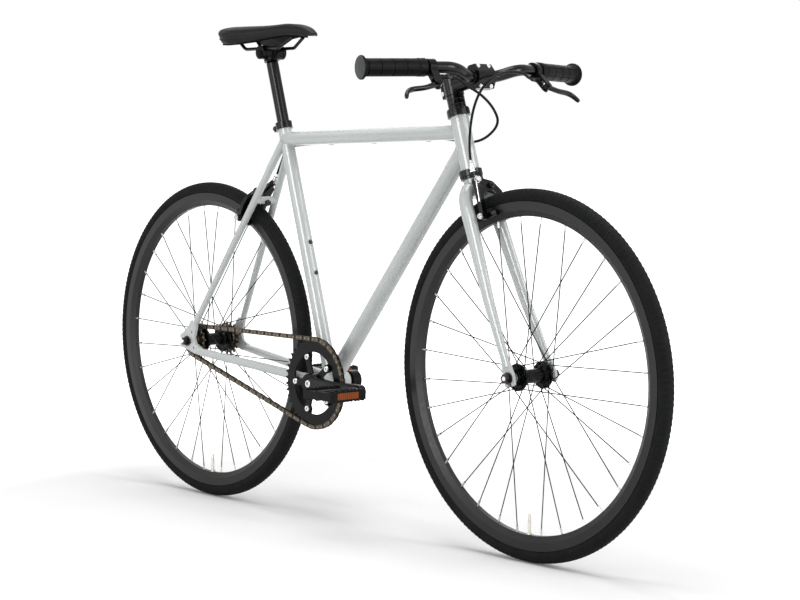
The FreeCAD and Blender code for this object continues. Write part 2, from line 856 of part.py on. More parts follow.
def spoke(name, centre, hole_radius, flange, hole_angle, lean, side, outboard):
    """One spoke with its bent head in a flange hole and its nipple at the rim; those outside bend at the edge."""
    radius = s.spoke_diameter / 2
    reach = float(s.flange_thickness) / 2 + float(radius) + 0.05
    lay = flange + (reach if outboard else -reach)
    start = rim_point(centre, hole_radius, hole_angle, side * lay)
    rim_across = side * (2.8 if outboard else 1.2)
    end = rim_point(centre, s.rim_inner_radius - s.moving_gap, hole_angle + lean, rim_across)
    over = unit(Vector(end.x - start.x, 0, end.z - start.z))
    arm = Vector(start.x - centre.x, 0, start.z - centre.z)
    clear = float(hole_radius + s.flange_edge + s.spoke_diameter)
    bend = start + over * (math.sqrt(arm.dot(over) ** 2 + clear ** 2 - arm.Length ** 2) - arm.dot(over))
    corner = bend if outboard else start
    nipple_foot = end + unit(corner - end) * float(s.nipple_length)
    if outboard:
        wire = bent_rod(f"{name}_wire", [start, bend, end], radius, [12])
    else:
        wire = rod(f"{name}_wire", start, end, radius)
    nipple = rod(f"{name}_nipple", nipple_foot, end, s.nipple_diameter / 2)
    inward = -side if outboard else side
    far_face = start + LEFT * (inward * 2 * reach)
    shank = rod(f"{name}_shank", start, far_face, radius)
    head = rod(f"{name}_head", far_face - LEFT * (inward * float(radius)), far_face + LEFT * inward, radius * 1.7)
    ball = bind(add("Part::Sphere", f"{name}_elbow"), Radius=radius)
    ball.Placement.Base = start
    return joined_up(name, wire, nipple, shank, head, ball)


def rim_point(centre, radius, angle, across):
    turn = math.radians(angle)
    return centre + Vector(float(radius) * math.cos(turn), across, float(radius) * math.sin(turn))


def spokes(name, centre, hole_radius, spacing):
    """Four sets of spokes: two on each flange, leaning opposite ways."""
    sets = []
    per_flange = 2 * int(s.spokes_per_set.value)
    step = 360.0 / per_flange
    lean = float(s.spoke_crossings) * step
    for word, side in SIDES.items():
        stagger = step / 4 + (step / 2 if side < 0 else 0.0)
        for outboard in (True, False):
            first = stagger + (0 if outboard else step)
            turn = lean if outboard else -lean
            one = spoke(f"{name}_{word}_{'out' if outboard else 'in'}", centre, hole_radius,
                        float(spacing) / 2, first, turn, side, outboard)
            angles = fork_of_angles(int(s.spokes_per_set.value))
            sets.append(copies(f"{name}_set_{len(sets)}", one, [spun(angle, centre) for angle in angles]))
    return together(name, *sets)


def drill_flanges(body, hole_radius):
    """Spoke holes through both flanges, staggered by half a step and clear of the valve."""
    doc.recompute()
    per_flange = 2 * int(s.spokes_per_set.value)
    for word, side in SIDES.items():
        sketch = new_sketch(body, "XY_Plane", f"{body.Name}_hole_{word}")
        turn = math.radians((90.0 if side > 0 else 270.0) / per_flange)
        spot = Vector(float(hole_radius) * math.cos(turn), -float(hole_radius) * math.sin(turn), 0)
        sketch.addGeometry(Part.Circle(spot, Vector(0, 0, 1), float(s.spoke_diameter)), False)
        radius = sketch.addConstraint(Sketcher.Constraint("Radius", 0, float(s.spoke_diameter)))
        sketch.setExpression(f"Constraints[{radius}]", (s.spoke_diameter / 2 + 0.2).text)
        pocket = body.newObject("PartDesign::Pocket", f"{body.Name}_drill_{word}")
        pocket.Profile = sketch
        pocket.Type = "ThroughAll"
        pocket.Reversed = side > 0
        doc.recompute()
        before = body.Shape.Volume
        pattern = body.newObject("PartDesign::PolarPattern", f"{body.Name}_holes_{word}")
        pattern.Originals = [pocket]
        pattern.Axis = (sketch, ["N_Axis"])
        pattern.Angle = 360
        pattern.Occurrences = per_flange
        body.Tip = pattern
        doc.recompute()
        if body.Shape.Volume >= before:
            raise ValueError(f"{body.Name}: the {word} flange was not drilled")


def half_and_half(upper):
    """A profile mirrored about the wheel's mid-plane."""
    return upper + [(point[0], -point[1]) for point in reversed(upper)]


hub_bore = s.hub_bore_radius + s.running_clearance


def hub_shell_profile(flange_radius, spacing, length, end_radius):
    flange = spacing / 2
    face = s.flange_thickness / 2
    return [
        (s.hub_barrel_radius, 0.01), (s.hub_barrel_radius, flange - face - 5),
        (s.hub_barrel_radius + 3, flange - face), (flange_radius, flange - face),
        (flange_radius, flange + face), (end_radius, flange + face), (end_radius, length / 2),
        (hub_bore, length / 2)]


def axle(name, centre, radius, length, shell_length, width):
    """A fixed axle with its two bearing cones and locknuts."""
    cone_in = shell_length / 2 - 12
    cone_out = shell_length / 2 + 0.4
    upper = [
        (radius, 0.01), (radius, cone_in), (s.hub_bore_radius, cone_in), (s.hub_bore_radius, cone_out),
        (s.locknut_radius, cone_out), (s.locknut_radius, width / 2), (radius, width / 2),
        (radius, length / 2 - 1), (radius - 1, length / 2), (0, length / 2)]
    full = [(point[0], -point[1]) for point in reversed(upper)] + upper
    return turned(name, across_bike(centre), full)


def axle_nuts(name, centre, radius, seat):
    """A washer-faced nut on each end of an axle."""
    pair = []
    for word, side in SIDES.items():
        start = centre + LEFT * (side * float(seat))
        washer = cylinder(f"{name}_washer_{word}", start, LEFT * side, s.axle_washer_radius,
                          s.axle_washer_thickness)
        hexagon = bind(add("Part::Prism", f"{name}_hex_{word}"),
                       Circumradius=s.axle_nut_size / math.sqrt(3),
                       Height=s.axle_washer_thickness + s.axle_nut_height)
        hexagon.Polygon = 6
        hexagon.Placement = along(start, LEFT * side)
        bore = cylinder(f"{name}_bore_{word}", start - LEFT * side, LEFT * side,
                        radius + s.seat_clearance, s.axle_nut_height * 2)
        pair.append(cut(f"{name}_{word}", joined_up(f"{name}_body_{word}", washer, hexagon), bore))
    return together(name, *pair)


def mirrored_profile(upper):
    return [(point[0], -point[1]) for point in reversed(upper)] + upper


front_hub = turned("front_hub_shell", across_bike(front_axle), mirrored_profile(
    [(s.hub_barrel_radius, 0.01)] + hub_shell_profile(
        s.front_flange_radius, s.front_flange_spacing, s.front_shell_length, s.hub_end_radius)[1:]))
drill_flanges(front_hub, s.front_flange_radius - s.flange_edge)
node("front_hub", front_hub)
node("front_spokes", spokes("front_spoke_group", front_axle, s.front_flange_radius - s.flange_edge,
                            s.front_flange_spacing))
node("front_rim", rim("front_rim_hoop", front_axle))
node("front_tyre", tyre("front_tyre_ring", front_axle))
node("front_tube", inner_tube("front_inner_tube", front_axle))
front_axle_radius = s.front_axle_diameter / 2
node("front_axle", axle("front_axle_rod", front_axle, front_axle_radius, s.front_axle_length,
                        s.front_shell_length, s.front_hub_width))
node("front_axle_nuts", axle_nuts("front_nuts", front_axle, front_axle_radius,
                                  s.front_hub_width / 2 + s.fork_tip_thickness))

cog_inner = s.chain_line - s.sprocket_thickness / 2 - 6
cog_outer = s.chain_line + s.sprocket_thickness / 2 + 1
rear_flange = s.rear_flange_spacing / 2
flange_face = s.flange_thickness / 2
rear_upper = [
    (s.hub_barrel_radius, 0.01), (s.hub_barrel_radius, rear_flange - flange_face - 5),
    (s.hub_barrel_radius + 3, rear_flange - flange_face), (s.rear_flange_radius, rear_flange - flange_face),
    (s.rear_flange_radius, rear_flange + flange_face), (s.cog_seat_radius + 2, rear_flange + flange_face),
    (s.cog_seat_radius + 2, cog_inner), (s.cog_seat_radius, cog_inner), (s.cog_seat_radius, cog_outer),
    (s.lockring_seat_radius, cog_outer), (s.lockring_seat_radius, s.rear_shell_length / 2),
    (hub_bore, s.rear_shell_length / 2)]
rear_hub = turned("rear_hub_shell", across_bike(rear_axle), mirrored_profile(rear_upper))
drill_flanges(rear_hub, s.rear_flange_radius - s.flange_edge)
node("rear_hub", rear_hub)
node("rear_spokes", spokes("rear_spoke_group", rear_axle, s.rear_flange_radius - s.flange_edge,
                           s.rear_flange_spacing))
node("rear_rim", rim("rear_rim_hoop", rear_axle))
node("rear_tyre", tyre("rear_tyre_ring", rear_axle))
node("rear_tube", inner_tube("rear_inner_tube", rear_axle))
rear_axle_radius = s.rear_axle_diameter / 2
node("rear_axle", axle("rear_axle_rod", rear_axle, rear_axle_radius, s.rear_axle_length,
                       s.rear_shell_length, s.rear_hub_width))
node("rear_axle_nuts", axle_nuts("rear_nuts", rear_axle, rear_axle_radius,
                                 s.rear_hub_width / 2 + s.dropout_thickness))

# drive: sprockets and chain

SEAT_HALF_TURN = math.radians(113)
ROLLER_ROOM = 0.1
TOOTH_HEIGHT = 3.7


def section(name, placement, points):
    """A free outline to loft through."""
    sketch = add("Sketcher::SketchObject", name)
    sketch.Placement = placement
    outline(sketch, points)
    return sketch


def loft(name, sections, ruled=True):
    feature = add("Part::Loft", name)
    feature.Sections = sections
    feature.Solid = True
    feature.Ruled = ruled
    return feature


def pitch_size(teeth):
    return Size(pitch_radius(teeth), f"({s.chain_pitch.text} / (2 * sin(180 deg / {teeth.text})))")


def sprocket(name, placement, teeth, low, high, inner, phase):
    """A toothed ring; its tooth gaps are cut by one pocket repeated round the ring."""
    pitch = pitch_size(teeth)
    tip = pitch + TOOTH_HEIGHT
    body = turned(name, placement, [(inner, low), (tip, low), (tip, high), (inner, high)])
    sketch = new_sketch(body, "XY_Plane", f"{name}_gap")
    room = s.roller_diameter / 2 + ROLLER_ROOM
    seat_x = pitch + room * math.cos(SEAT_HALF_TURN)
    seat_y = room * math.sin(SEAT_HALF_TURN)
    mouth_x = tip + 1.5
    mouth_y = float(seat_y) + (float(mouth_x) - float(seat_x)) * math.tan(SEAT_HALF_TURN - math.pi / 2)
    outline(sketch, [
        (mouth_x, -mouth_y), (seat_x, -seat_y, (pitch - room, 0)), (seat_x, seat_y), (mouth_x, mouth_y)])
    pocket = body.newObject("PartDesign::Pocket", f"{name}_cut")
    pocket.Profile = sketch
    pocket.Type = "ThroughAll"
    pocket.Midplane = True
    pattern = body.newObject("PartDesign::PolarPattern", f"{name}_teeth")
    pattern.Originals = [pocket]
    pattern.Axis = (sketch, ["N_Axis"])
    pattern.Angle = 360
    pattern.Occurrences = int(teeth.value)
    pattern.setExpression("Occurrences", teeth.text)
    body.Tip = pattern
    turn = FreeCAD.Placement(Vector(), FreeCAD.Rotation(UP, -math.degrees(phase)))
    body.Placement = placement.multiply(turn)
    return body


ring_radius = pitch_radius(s.chainring_teeth)
cog_radius = pitch_radius(s.cog_teeth)
lean = wrap_angle(span)
tilt = math.atan2(bracket.z - rear_axle.z, bracket.x - rear_axle.x)
ring_links = float(s.chainring_teeth) * (math.pi + 2 * lean) / (2 * math.pi)
cog_links = float(s.cog_teeth) * (math.pi - 2 * lean) / (2 * math.pi)
run_links = span * math.cos(lean) / float(s.chain_pitch)
upper_normal = tilt + math.pi / 2 + lean
lower_normal = tilt - math.pi / 2 - lean


def direction(angle):
    return Vector(math.cos(angle), 0, math.sin(angle))


def chain_point(links):
    """Where the chain is, counted in links from the foot of the chainring."""
    if links <= ring_links:
        return bracket + direction(lower_normal + 2 * math.pi * links / float(s.chainring_teeth)) * ring_radius
    links -= ring_links
    if links <= run_links:
        start = bracket + direction(upper_normal) * ring_radius
        end = rear_axle + direction(upper_normal) * cog_radius
        return start + (end - start) * (links / run_links)
    links -= run_links
    if links <= cog_links:
        return rear_axle + direction(upper_normal + 2 * math.pi * links / float(s.cog_teeth)) * cog_radius
    links -= cog_links
    start = rear_axle + direction(lower_normal) * cog_radius
    end = bracket + direction(lower_normal) * ring_radius
    return start + (end - start) * (links / run_links)


first_on_cog = math.ceil(ring_links + run_links) - ring_links - run_links
cog_phase = upper_normal + 2 * math.pi * first_on_cog / float(s.cog_teeth)
chain_middle = LEFT * -float(s.chain_line)
half_tooth = s.sprocket_thickness / 2


def link_plate(name, low):
    """One side plate of a link, with round ends at its two pins."""
    half = s.chain_plate_height / 2
    pitch = s.chain_pitch
    points = [(0, -half), (pitch, -half, (pitch + half, 0)), (pitch, half), (0, half, (-half, 0))]
    return plate(name, placed(LEFT * float(low), FORWARD, LEFT), s.chain_plate_thickness, points)


def chain_links(name, reach, pin_hole, core):
    """A link: two plates joined at both pins by a core of the given radius."""
    cores = []
    holes = []
    for end in range(2):
        centre = FORWARD * (end * float(s.chain_pitch))
        width = (reach + s.chain_plate_thickness) * 2 if pin_hole is None else reach * 2
        cores.append(across_cylinder(f"{name}_core_{end}", centre, core, width))
        if pin_hole is not None:
            holes.append(across_cylinder(f"{name}_hole_{end}", centre, pin_hole, 20))
    plates = [link_plate(f"{name}_plate_left", reach),
              link_plate(f"{name}_plate_right", -reach - s.chain_plate_thickness)]
    whole = joined_up(f"{name}_whole", *plates, *cores)
    return cut(name, whole, *holes) if holes else whole


link_gap = 0.15
inner_link = chain_links("inner_link", s.chain_inner_width / 2, s.chain_pin_diameter / 2 + 0.1,
                         s.roller_diameter / 2)
outer_link = chain_links("outer_link", s.chain_inner_width / 2 + s.chain_plate_thickness + link_gap, None,
                         s.chain_pin_diameter / 2)
inner_places = []
outer_places = []
for index in range(int(s.chain_links.value)):
    start = chain_point(index)
    end = chain_point((index + 1) % int(s.chain_links.value))
    angle = math.degrees(math.atan2(end.z - start.z, end.x - start.x))
    place = FreeCAD.Placement(start + chain_middle, FreeCAD.Rotation(LEFT, -angle))
    (outer_places if index % 2 else inner_places).append(place)
node("chain", together("chain_loop", copies("inner_links", inner_link, inner_places),
                       copies("outer_links", outer_link, outer_places)))

lockring_low = cog_outer + 0.2
lockring_high = s.rear_shell_length / 2 - 0.5


def lockring(name, side):
    """A slotted ring screwed on the end of the hub."""
    outer = s.cog_seat_radius + 4
    inner = s.lockring_seat_radius + s.seat_clearance
    low, high = (lockring_low, lockring_high) if side > 0 else (-lockring_high, -lockring_low)
    hoop = ring(f"{name}_hoop", across_bike(rear_axle), inner, outer, low, high)
    notches = []
    for index in range(6):
        turn = FreeCAD.Placement(Vector(), FreeCAD.Rotation(UP, 60 * index))
        frame = across_bike(rear_axle).multiply(turn)
        notches.append(box(f"{name}_notch_{index}", frame, (outer - 1.6, -2, low - 1), (outer + 2, 2, high + 1)))
    return cut(name, hoop, *notches)


def hub_sprocket(name, side, teeth, bore, phase):
    """A sprocket with a threaded boss that runs in to the hub's shoulder."""
    middle = s.chain_line if side > 0 else -s.chain_line
    frame = across_bike(rear_axle)
    teeth_ring = sprocket(f"{name}_ring", frame, teeth, middle - half_tooth, middle + half_tooth, bore, phase)
    near = cog_inner + s.moving_gap
    far = cog_outer - s.moving_gap
    low, high = (near, far) if side > 0 else (-far, -near)
    boss = ring(f"{name}_boss", frame, bore, s.cog_seat_radius + 7.6, low, high)
    return joined_up(name, teeth_ring, boss)


fixed_cog = hub_sprocket("cog", -1, s.cog_teeth, s.cog_seat_radius + s.seat_clearance, cog_phase)
node("fixed_cog", together("cog_and_lockrings", fixed_cog, lockring("lockring_right", -1),
                           lockring("lockring_left", 1)))
node("freewheel", hub_sprocket("freewheel_body", 1, s.freewheel_teeth,
                               s.cog_seat_radius + s.running_clearance, 0.0))

# drive: cranks and pedals

bolt_circle = s.chainring_bolt_circle / 2
bolt_turns = fork_of_angles(int(s.chainring_bolts.value), 180)


def on_bolt_circle(angle, across):
    return rim_point(bracket, bolt_circle, angle, float(across))


ring_face = s.chain_line + half_tooth
teeth_ring = sprocket("chainring_teeth_ring", across_bike(bracket), s.chainring_teeth,
                      -ring_face, -s.chain_line + half_tooth, s.chainring_inner_radius, lower_normal)
ring_tabs = [
    cylinder(f"ring_tab_{index}", on_bolt_circle(angle, -ring_face), LEFT, s.spider_tab_radius,
             s.sprocket_thickness)
    for index, angle in enumerate(bolt_turns)]
ring_necks = []
for index, angle in enumerate(bolt_turns):
    frame = placed(bracket - LEFT * float(ring_face), rim_point(Vector(), 1, angle, 0), LEFT)
    ring_necks.append(box(f"ring_neck_{index}", frame, (bolt_circle, -s.spider_tab_radius, 0),
                          (s.chainring_inner_radius + 4, s.spider_tab_radius, s.sprocket_thickness)))
ring_holes = [
    cylinder(f"ring_hole_{index}", on_bolt_circle(angle, -ring_face - 15), LEFT,
             s.chainring_bolt_radius + s.seat_clearance, 30)
    for index, angle in enumerate(bolt_turns)]
node("chainring", cut("chainring_drilled", joined_up("chainring_whole", teeth_ring, *ring_tabs, *ring_necks),
                      *ring_holes))

boss_inner = s.crank_boss_face - s.crank_boss_depth
taper_end = s.crank_boss_face - 4


def square_bar(name, half_length, side_length):
    half = side_length / 2
    return box(name, across_bike(bracket), (-half, -half, -half_length), (half, half, half_length))


spindle_round = across_cylinder("spindle_round", bracket, s.spindle_radius, (lip_half + 2) * 2)
spindle_bolt_hole = across_cylinder("spindle_bolt_hole", bracket, 4 + s.seat_clearance, 200)
spindle_core = across_cylinder("spindle_core", bracket, s.spindle_radius, 60)
spindle_drill = cut("spindle_drill", spindle_bolt_hole, spindle_core)
spindle_stock = across_cylinder("spindle_stock", bracket, s.spindle_radius, taper_end * 2)
spindle_squares = shared("spindle_squares", square_bar("spindle_bar", taper_end, s.spindle_square), spindle_stock)
node("crank_spindle", cut("spindle", joined_up("spindle_whole", spindle_round, spindle_squares), spindle_drill))


def rounded_box(width, height, radius, shift):
    """A rectangle with round corners, moved along its second axis."""
    points = []
    lean_in = radius * (1 - math.sqrt(0.5))
    half_w = width / 2
    half_h = height / 2
    for x, y, x_first in ((1, 1, True), (-1, 1, False), (-1, -1, True), (1, -1, False)):
        side = (half_w * x, (half_h - radius) * y + shift)
        top = ((half_w - radius) * x, half_h * y + shift)
        middle = ((half_w - lean_in) * x, (half_h - lean_in) * y + shift)
        first, second = (side, top) if x_first else (top, side)
        points.append((first[0], first[1], middle))
        points.append(second)
    return points


def crank_arm(name, ahead, extras):
    """An arm that leaves its boss and leans outwards to the pedal."""
    side = -1 if ahead.x > 0 else 1
    outward = LEFT * side
    boss = cylinder(f"{name}_boss", bracket + outward * float(boss_inner), outward, s.crank_boss_radius,
                    s.crank_boss_depth)
    sections = []
    mid_thickness = s.crank_arm_thickness / 2
    spots = (
        ("root", 4.0, s.crank_arm_root, s.crank_boss_face - mid_thickness),
        ("waist", s.crank_length * 0.45, s.crank_arm_tip - 2, (s.crank_boss_face + s.crank_tread) / 2 - 5),
        ("tip", s.crank_length, s.crank_arm_tip, s.crank_tread - mid_thickness))
    for word, reach, height, shift in spots:
        frame = placed(bracket + ahead * float(reach), UP, ahead)
        sections.append(section(f"{name}_{word}", frame, rounded_box(height, s.crank_arm_thickness, 4.0, shift)))
    arm = loft(f"{name}_arm", sections)
    pedal_point = bracket + ahead * float(s.crank_length)
    eye = cylinder(f"{name}_eye", pedal_point + outward * float(s.crank_tread - s.crank_arm_thickness), outward,
                   s.crank_arm_tip / 2, s.crank_arm_thickness)
    square = square_bar(f"{name}_square", s.crank_boss_face + 5, s.spindle_square + 0.04)
    recess = cylinder(f"{name}_recess", bracket + outward * float(taper_end), outward,
                      s.crank_bolt_radius + 0.5, 30)
    thread = cylinder(f"{name}_thread", pedal_point, outward, PEDAL_THREAD + 0.05, 200)
    return cut(name, joined_up(f"{name}_whole", boss, arm, eye, *extras), square, recess, thread)


PEDAL_THREAD = 7
spider_low = ring_face + 0.02
spider_high = spider_low + s.spider_thickness
spider = []
for index, angle in enumerate(bolt_turns):
    frame = placed(bracket - LEFT * float(spider_high), rim_point(Vector(), 1, angle, 0), LEFT)
    spider.append(box(f"spider_leg_{index}", frame, (10, -6.5, 0), (bolt_circle, 6.5, s.spider_thickness)))
    spider.append(cylinder(f"spider_tab_{index}", on_bolt_circle(angle, -spider_high), LEFT,
                           s.spider_tab_radius, s.spider_thickness))
arm_right = crank_arm("arm_right", FORWARD, spider)
node("crank_arm_right", cut("arm_right_drilled", arm_right, *ring_holes))
node("crank_arm_left", crank_arm("arm_left", -FORWARD, []))

crank_bolts = []
ring_back = s.chain_line - half_tooth
for index, angle in enumerate(bolt_turns):
    crank_bolts.append(turned(f"ring_bolt_{index}", placed(on_bolt_circle(angle, 0), FORWARD, -LEFT), [
        (0, ring_back - 1.4), (6, ring_back - 1.4), (6, ring_back - 0.02),
        (s.chainring_bolt_radius, ring_back - 0.02), (s.chainring_bolt_radius, spider_high + 0.02),
        (6, spider_high + 0.02), (5.2, spider_high + 1.6), (2.5, spider_high + 1.6), (2.5, spider_high - 2),
        (0, spider_high - 2)]))
for word, side in SIDES.items():
    crank_bolts.append(turned(f"crank_bolt_{word}", placed(bracket, FORWARD, LEFT * side), [
        (0, taper_end - 14), (4, taper_end - 14), (4, taper_end + 0.05), (s.crank_bolt_radius, taper_end + 0.05),
        (s.crank_bolt_radius, s.crank_boss_face + 1), (s.crank_bolt_radius - 1, s.crank_boss_face + 2),
        (4, s.crank_boss_face + 2), (4, s.crank_boss_face - 2), (0, s.crank_boss_face - 2)]))
node("crank_bolts", together("crank_screws", *crank_bolts))

pedal_near = s.crank_tread + 7
pedal_far = pedal_near + s.pedal_length
spindles = []
for word, side in SIDES.items():
    centre = bracket - FORWARD * (side * float(s.crank_length))
    spindles.append(turned(f"pedal_axle_{word}", placed(centre, FORWARD, LEFT * side), [
        (0, s.crank_tread - s.crank_arm_thickness), (PEDAL_THREAD, s.crank_tread - s.crank_arm_thickness),
        (PEDAL_THREAD, s.crank_tread), (9, s.crank_tread + 0.05), (9, pedal_near - 2),
        (s.pedal_spindle_radius, pedal_near - 2), (s.pedal_spindle_radius, pedal_far - 4), (0, pedal_far - 4)]))
node("pedal_spindles", together("pedal_axles", *spindles))


def pedal(word, side):
    """A platform pedal: a barrel, two end bars, two toothed cage bars and a reflector in each."""
    centre = bracket - FORWARD * (side * float(s.crank_length))
    frame = placed(centre, FORWARD, LEFT * side)
    half_x = s.pedal_width / 2
    half_z = s.pedal_height / 2
    bar = s.pedal_bar_width
    name = f"pedal_{word}"
    barrel = cylinder(f"{name}_barrel", frame.multVec(Vector(0, 0, pedal_near)), LEFT * side,
                      s.pedal_barrel_radius, s.pedal_length)
    parts = [barrel]
    for index, (low, high) in enumerate(((pedal_near + 5, pedal_near + 5 + bar), (pedal_far - bar, pedal_far))):
        parts.append(box(f"{name}_end_{index}", frame, (-half_x, -half_z + 3, low), (half_x, half_z - 3, high)))
    teeth = 6
    for index, way in enumerate((-1, 1)):
        low_x, high_x = (half_x - bar, half_x) if way > 0 else (-half_x, -half_x + bar)
        parts.append(box(f"{name}_cage_{index}", frame, (low_x, -half_z + 2, pedal_near + 5),
                         (high_x, half_z - 2, pedal_far)))
        pitch = (s.pedal_length - 5) / teeth
        for tooth in range(teeth):
            start = pedal_near + 5 + pitch * (tooth + 0.25)
            parts.append(box(f"{name}_tooth_{index}_{tooth}", frame, (low_x, -half_z, start),
                             (high_x, half_z, start + pitch / 2)))
    bore = cylinder(f"{name}_bore", frame.multVec(Vector(0, 0, pedal_near - 1)), LEFT * side,
                    s.pedal_spindle_radius + s.running_clearance, s.pedal_length - 2)
    middle = (pedal_near + 5 + pedal_far) / 2
    recesses = []
    lenses = []
    for index, way in enumerate((-1, 1)):
        face = half_x - s.reflector_depth
        low_x, high_x = (face, half_x + 1) if way > 0 else (-half_x - 1, -face)
        low = (low_x, -s.reflector_height / 2, middle - s.reflector_length / 2)
        high = (high_x, s.reflector_height / 2, middle + s.reflector_length / 2)
        recesses.append(box(f"{name}_recess_{index}", frame, low, high))
        lens_x = (face, half_x - 0.3) if way > 0 else (-half_x + 0.3, -face)
        lenses.append(box(f"{name}_lens_{index}", frame, (lens_x[0], low[1] + 0.1, low[2] + 0.1),
                          (lens_x[1], high[1] - 0.1, high[2] - 0.1)))
    node(name, cut(f"{name}_body", joined_up(f"{name}_whole", *parts), bore, *recesses))
    node(f"pedal_reflectors_{word}", together(f"{name}_lenses", *lenses))


for word, side in SIDES.items():
    pedal(word, side)

# steering: fork

front_brake_height = s.brake_pivot_radius
crown_top = s.fork_length - s.headset_cup_height * 0.4


def blade_section(name, point, heading, fore_half, side_half):
    """An ellipse across a fork blade; its long axis lies fore and aft."""
    feature = bind(add("Part::Ellipse", name), MajorRadius=fore_half, MinorRadius=side_half)
    feature.Placement = placed(point, steer_ahead, heading)
    return feature


def fork_blade(word, side):
    """A blade that leaves the crown sideways, bends down beside the tyre and runs straight to its tip."""
    tip_across = (s.front_hub_width + s.fork_tip_thickness) / 2
    top_fore, top_side = s.blade_top_width / 2, s.blade_top_thickness / 2
    tip_fore, tip_side = s.blade_tip_width / 2, s.blade_tip_thickness / 2
    shoulder = float(crown_top - s.crown_depth) - 26
    bend_out, bend_down = 32.0, float(s.crown_depth) + 12
    spots = []
    for turn in (0, 22, 42, 58, 74, 90):
        across = 4 + bend_out * math.sin(math.radians(turn))
        height = shoulder + bend_down * math.cos(math.radians(turn))
        ahead = 9 * (1 - math.cos(math.radians(turn)))
        heading = (bend_out * math.cos(math.radians(turn)), -bend_down * math.sin(math.radians(turn)) - 2)
        spots.append((height, ahead, across, heading, top_fore, top_side))
    spots.append((shoulder * 0.48, 25, 45.5, (0.06, -1), (top_fore + tip_fore) / 2, (top_side + tip_side) / 2))
    spots.append((20, s.fork_rake, tip_across, (0.05, -1), tip_fore, tip_side))
    solid = blade_loft(f"blade_{word}", spots, side, 0)
    share = 0.8
    last, end = spots[-2], spots[-1]
    bottom = [last[i] * (1 - share) + end[i] * share for i in (0, 1, 2, 4, 5)]
    inner_spots = spots[3:-1] + [(bottom[0], bottom[1], bottom[2], (0.05, -1), bottom[3], bottom[4])]
    return solid, blade_loft(f"blade_hollow_{word}", inner_spots, side, s.blade_wall)


def blade_loft(name, spots, side, wall):
    sections = []
    for index, (height, ahead, across, heading, fore, sideways) in enumerate(spots):
        towards = LEFT * (side * heading[0]) + steer_up * heading[1]
        point = on_steerer(height, ahead, side * float(across))
        sections.append(blade_section(f"{name}_{index}", point, towards, fore - wall, sideways - wall))
    return loft(name, sections)


def fork_tip(word, side):
    """A slotted plate that holds the front axle."""
    slot = front_axle_radius + 0.2
    low = s.front_hub_width / 2 if side > 0 else -s.front_hub_width / 2 - s.fork_tip_thickness
    frame = placed(front_axle + LEFT * float(low), steer_ahead, LEFT)
    points = [
        (-slot, 16), (-slot, 0, (0, -slot)), (slot, 0), (slot, 16), (slot + 7, 14), (14, -2), (9, -26),
        (-9, -26), (-14, -2), (-slot - 7, 14)]
    return plate(f"fork_tip_{word}", frame, s.fork_tip_thickness, points)


steerer_top = stem_high - 3
crown_block = cylinder("crown_block", on_steerer(crown_top - 34), steer_up, s.crown_radius, 34)
steerer = cylinder("steerer", on_steerer(crown_top - 20), steer_up, s.steerer_radius, steerer_top - crown_top + 20)
steerer_bore = cylinder("steerer_bore", on_steerer(crown_top - 4), steer_up, s.steerer_radius - s.steerer_wall,
                        steerer_top)
front_brake_hole = cylinder("front_brake_hole", on_steerer(front_brake_height, -40), steer_ahead,
                            s.brake_bolt_radius + s.seat_clearance, 80)
fork_pieces = [crown_block, steerer]
blade_hollows = []
for word, side in SIDES.items():
    blade, hollow = fork_blade(word, side)
    blade_hollows.append(hollow)
    fork_pieces += [blade, fork_tip(word, side)]
node("fork", cut("fork_drilled", joined_up("fork_whole", *fork_pieces), steerer_bore, front_brake_hole,
                 *blade_hollows))

race_inner = s.steerer_radius + s.seat_clearance
races = [
    ring("crown_race", round_steerer(crown_top), race_inner, s.headset_cup_radius - 1, 0.02,
         s.fork_length - crown_top - s.moving_gap),
    ring("lower_race", round_steerer(s.fork_length), race_inner, s.headset_race_radius, -s.moving_gap,
         s.headset_cup_height - s.moving_gap),
    ring("upper_race", round_steerer(head_high), race_inner, s.headset_race_radius, s.moving_gap,
         s.headset_cup_height + s.moving_gap),
    ring("dust_cover", round_steerer(cup_high), race_inner, s.headset_cup_radius - 1, s.moving_gap, 2.5)]
node("headset_bearings", together("races", *races))


def spacer(index):
    low = cup_high + 2.55 + index * s.spacer_height if index == 0 else cup_high + index * s.spacer_height
    high = cup_high + (index + 1) * s.spacer_height - 0.05
    height = high - low
    edge = s.spacer_radius - 0.6
    return turned(f"spacer_{index}", round_steerer(low), [
        (race_inner, 0), (edge, 0), (s.spacer_radius, 0.6), (s.spacer_radius, height - 0.6), (edge, height),
        (race_inner, height)])


node("headset_spacers", together("spacers", *[spacer(index) for index in range(int(s.spacer_count.value))]))

# steering: stem and handlebar

stem_middle = (stem_low + stem_high) / 2
stem_ahead = turned_in_plane(float(s.stem_rise))
stem_over = Vector(-stem_ahead.z, 0, stem_ahead.x)
bar_centre = on_steerer(stem_middle) + stem_ahead * float(s.stem_length)
# the clamp's own Z axis runs across the bicycle, its X axis forward along the stem and its Y axis down
clamp_half = s.bar_clamp_width / 2
clamp_frame = placed(bar_centre - LEFT * float(clamp_half), stem_ahead, LEFT)
clamp_high = s.bar_clamp_height / 2
bar_hole = across_cylinder("bar_hole", bar_centre, s.bar_clamp_radius + 0.03, 200)
BOLT_UP = 18.5
BOLT_OUT = 13
SPLIT = 0.6
FACE_FRONT = 8


def stem_bolt_point(up, out, ahead):
    return bar_centre + stem_over * (up * BOLT_UP) + LEFT * (out * BOLT_OUT) + stem_ahead * ahead


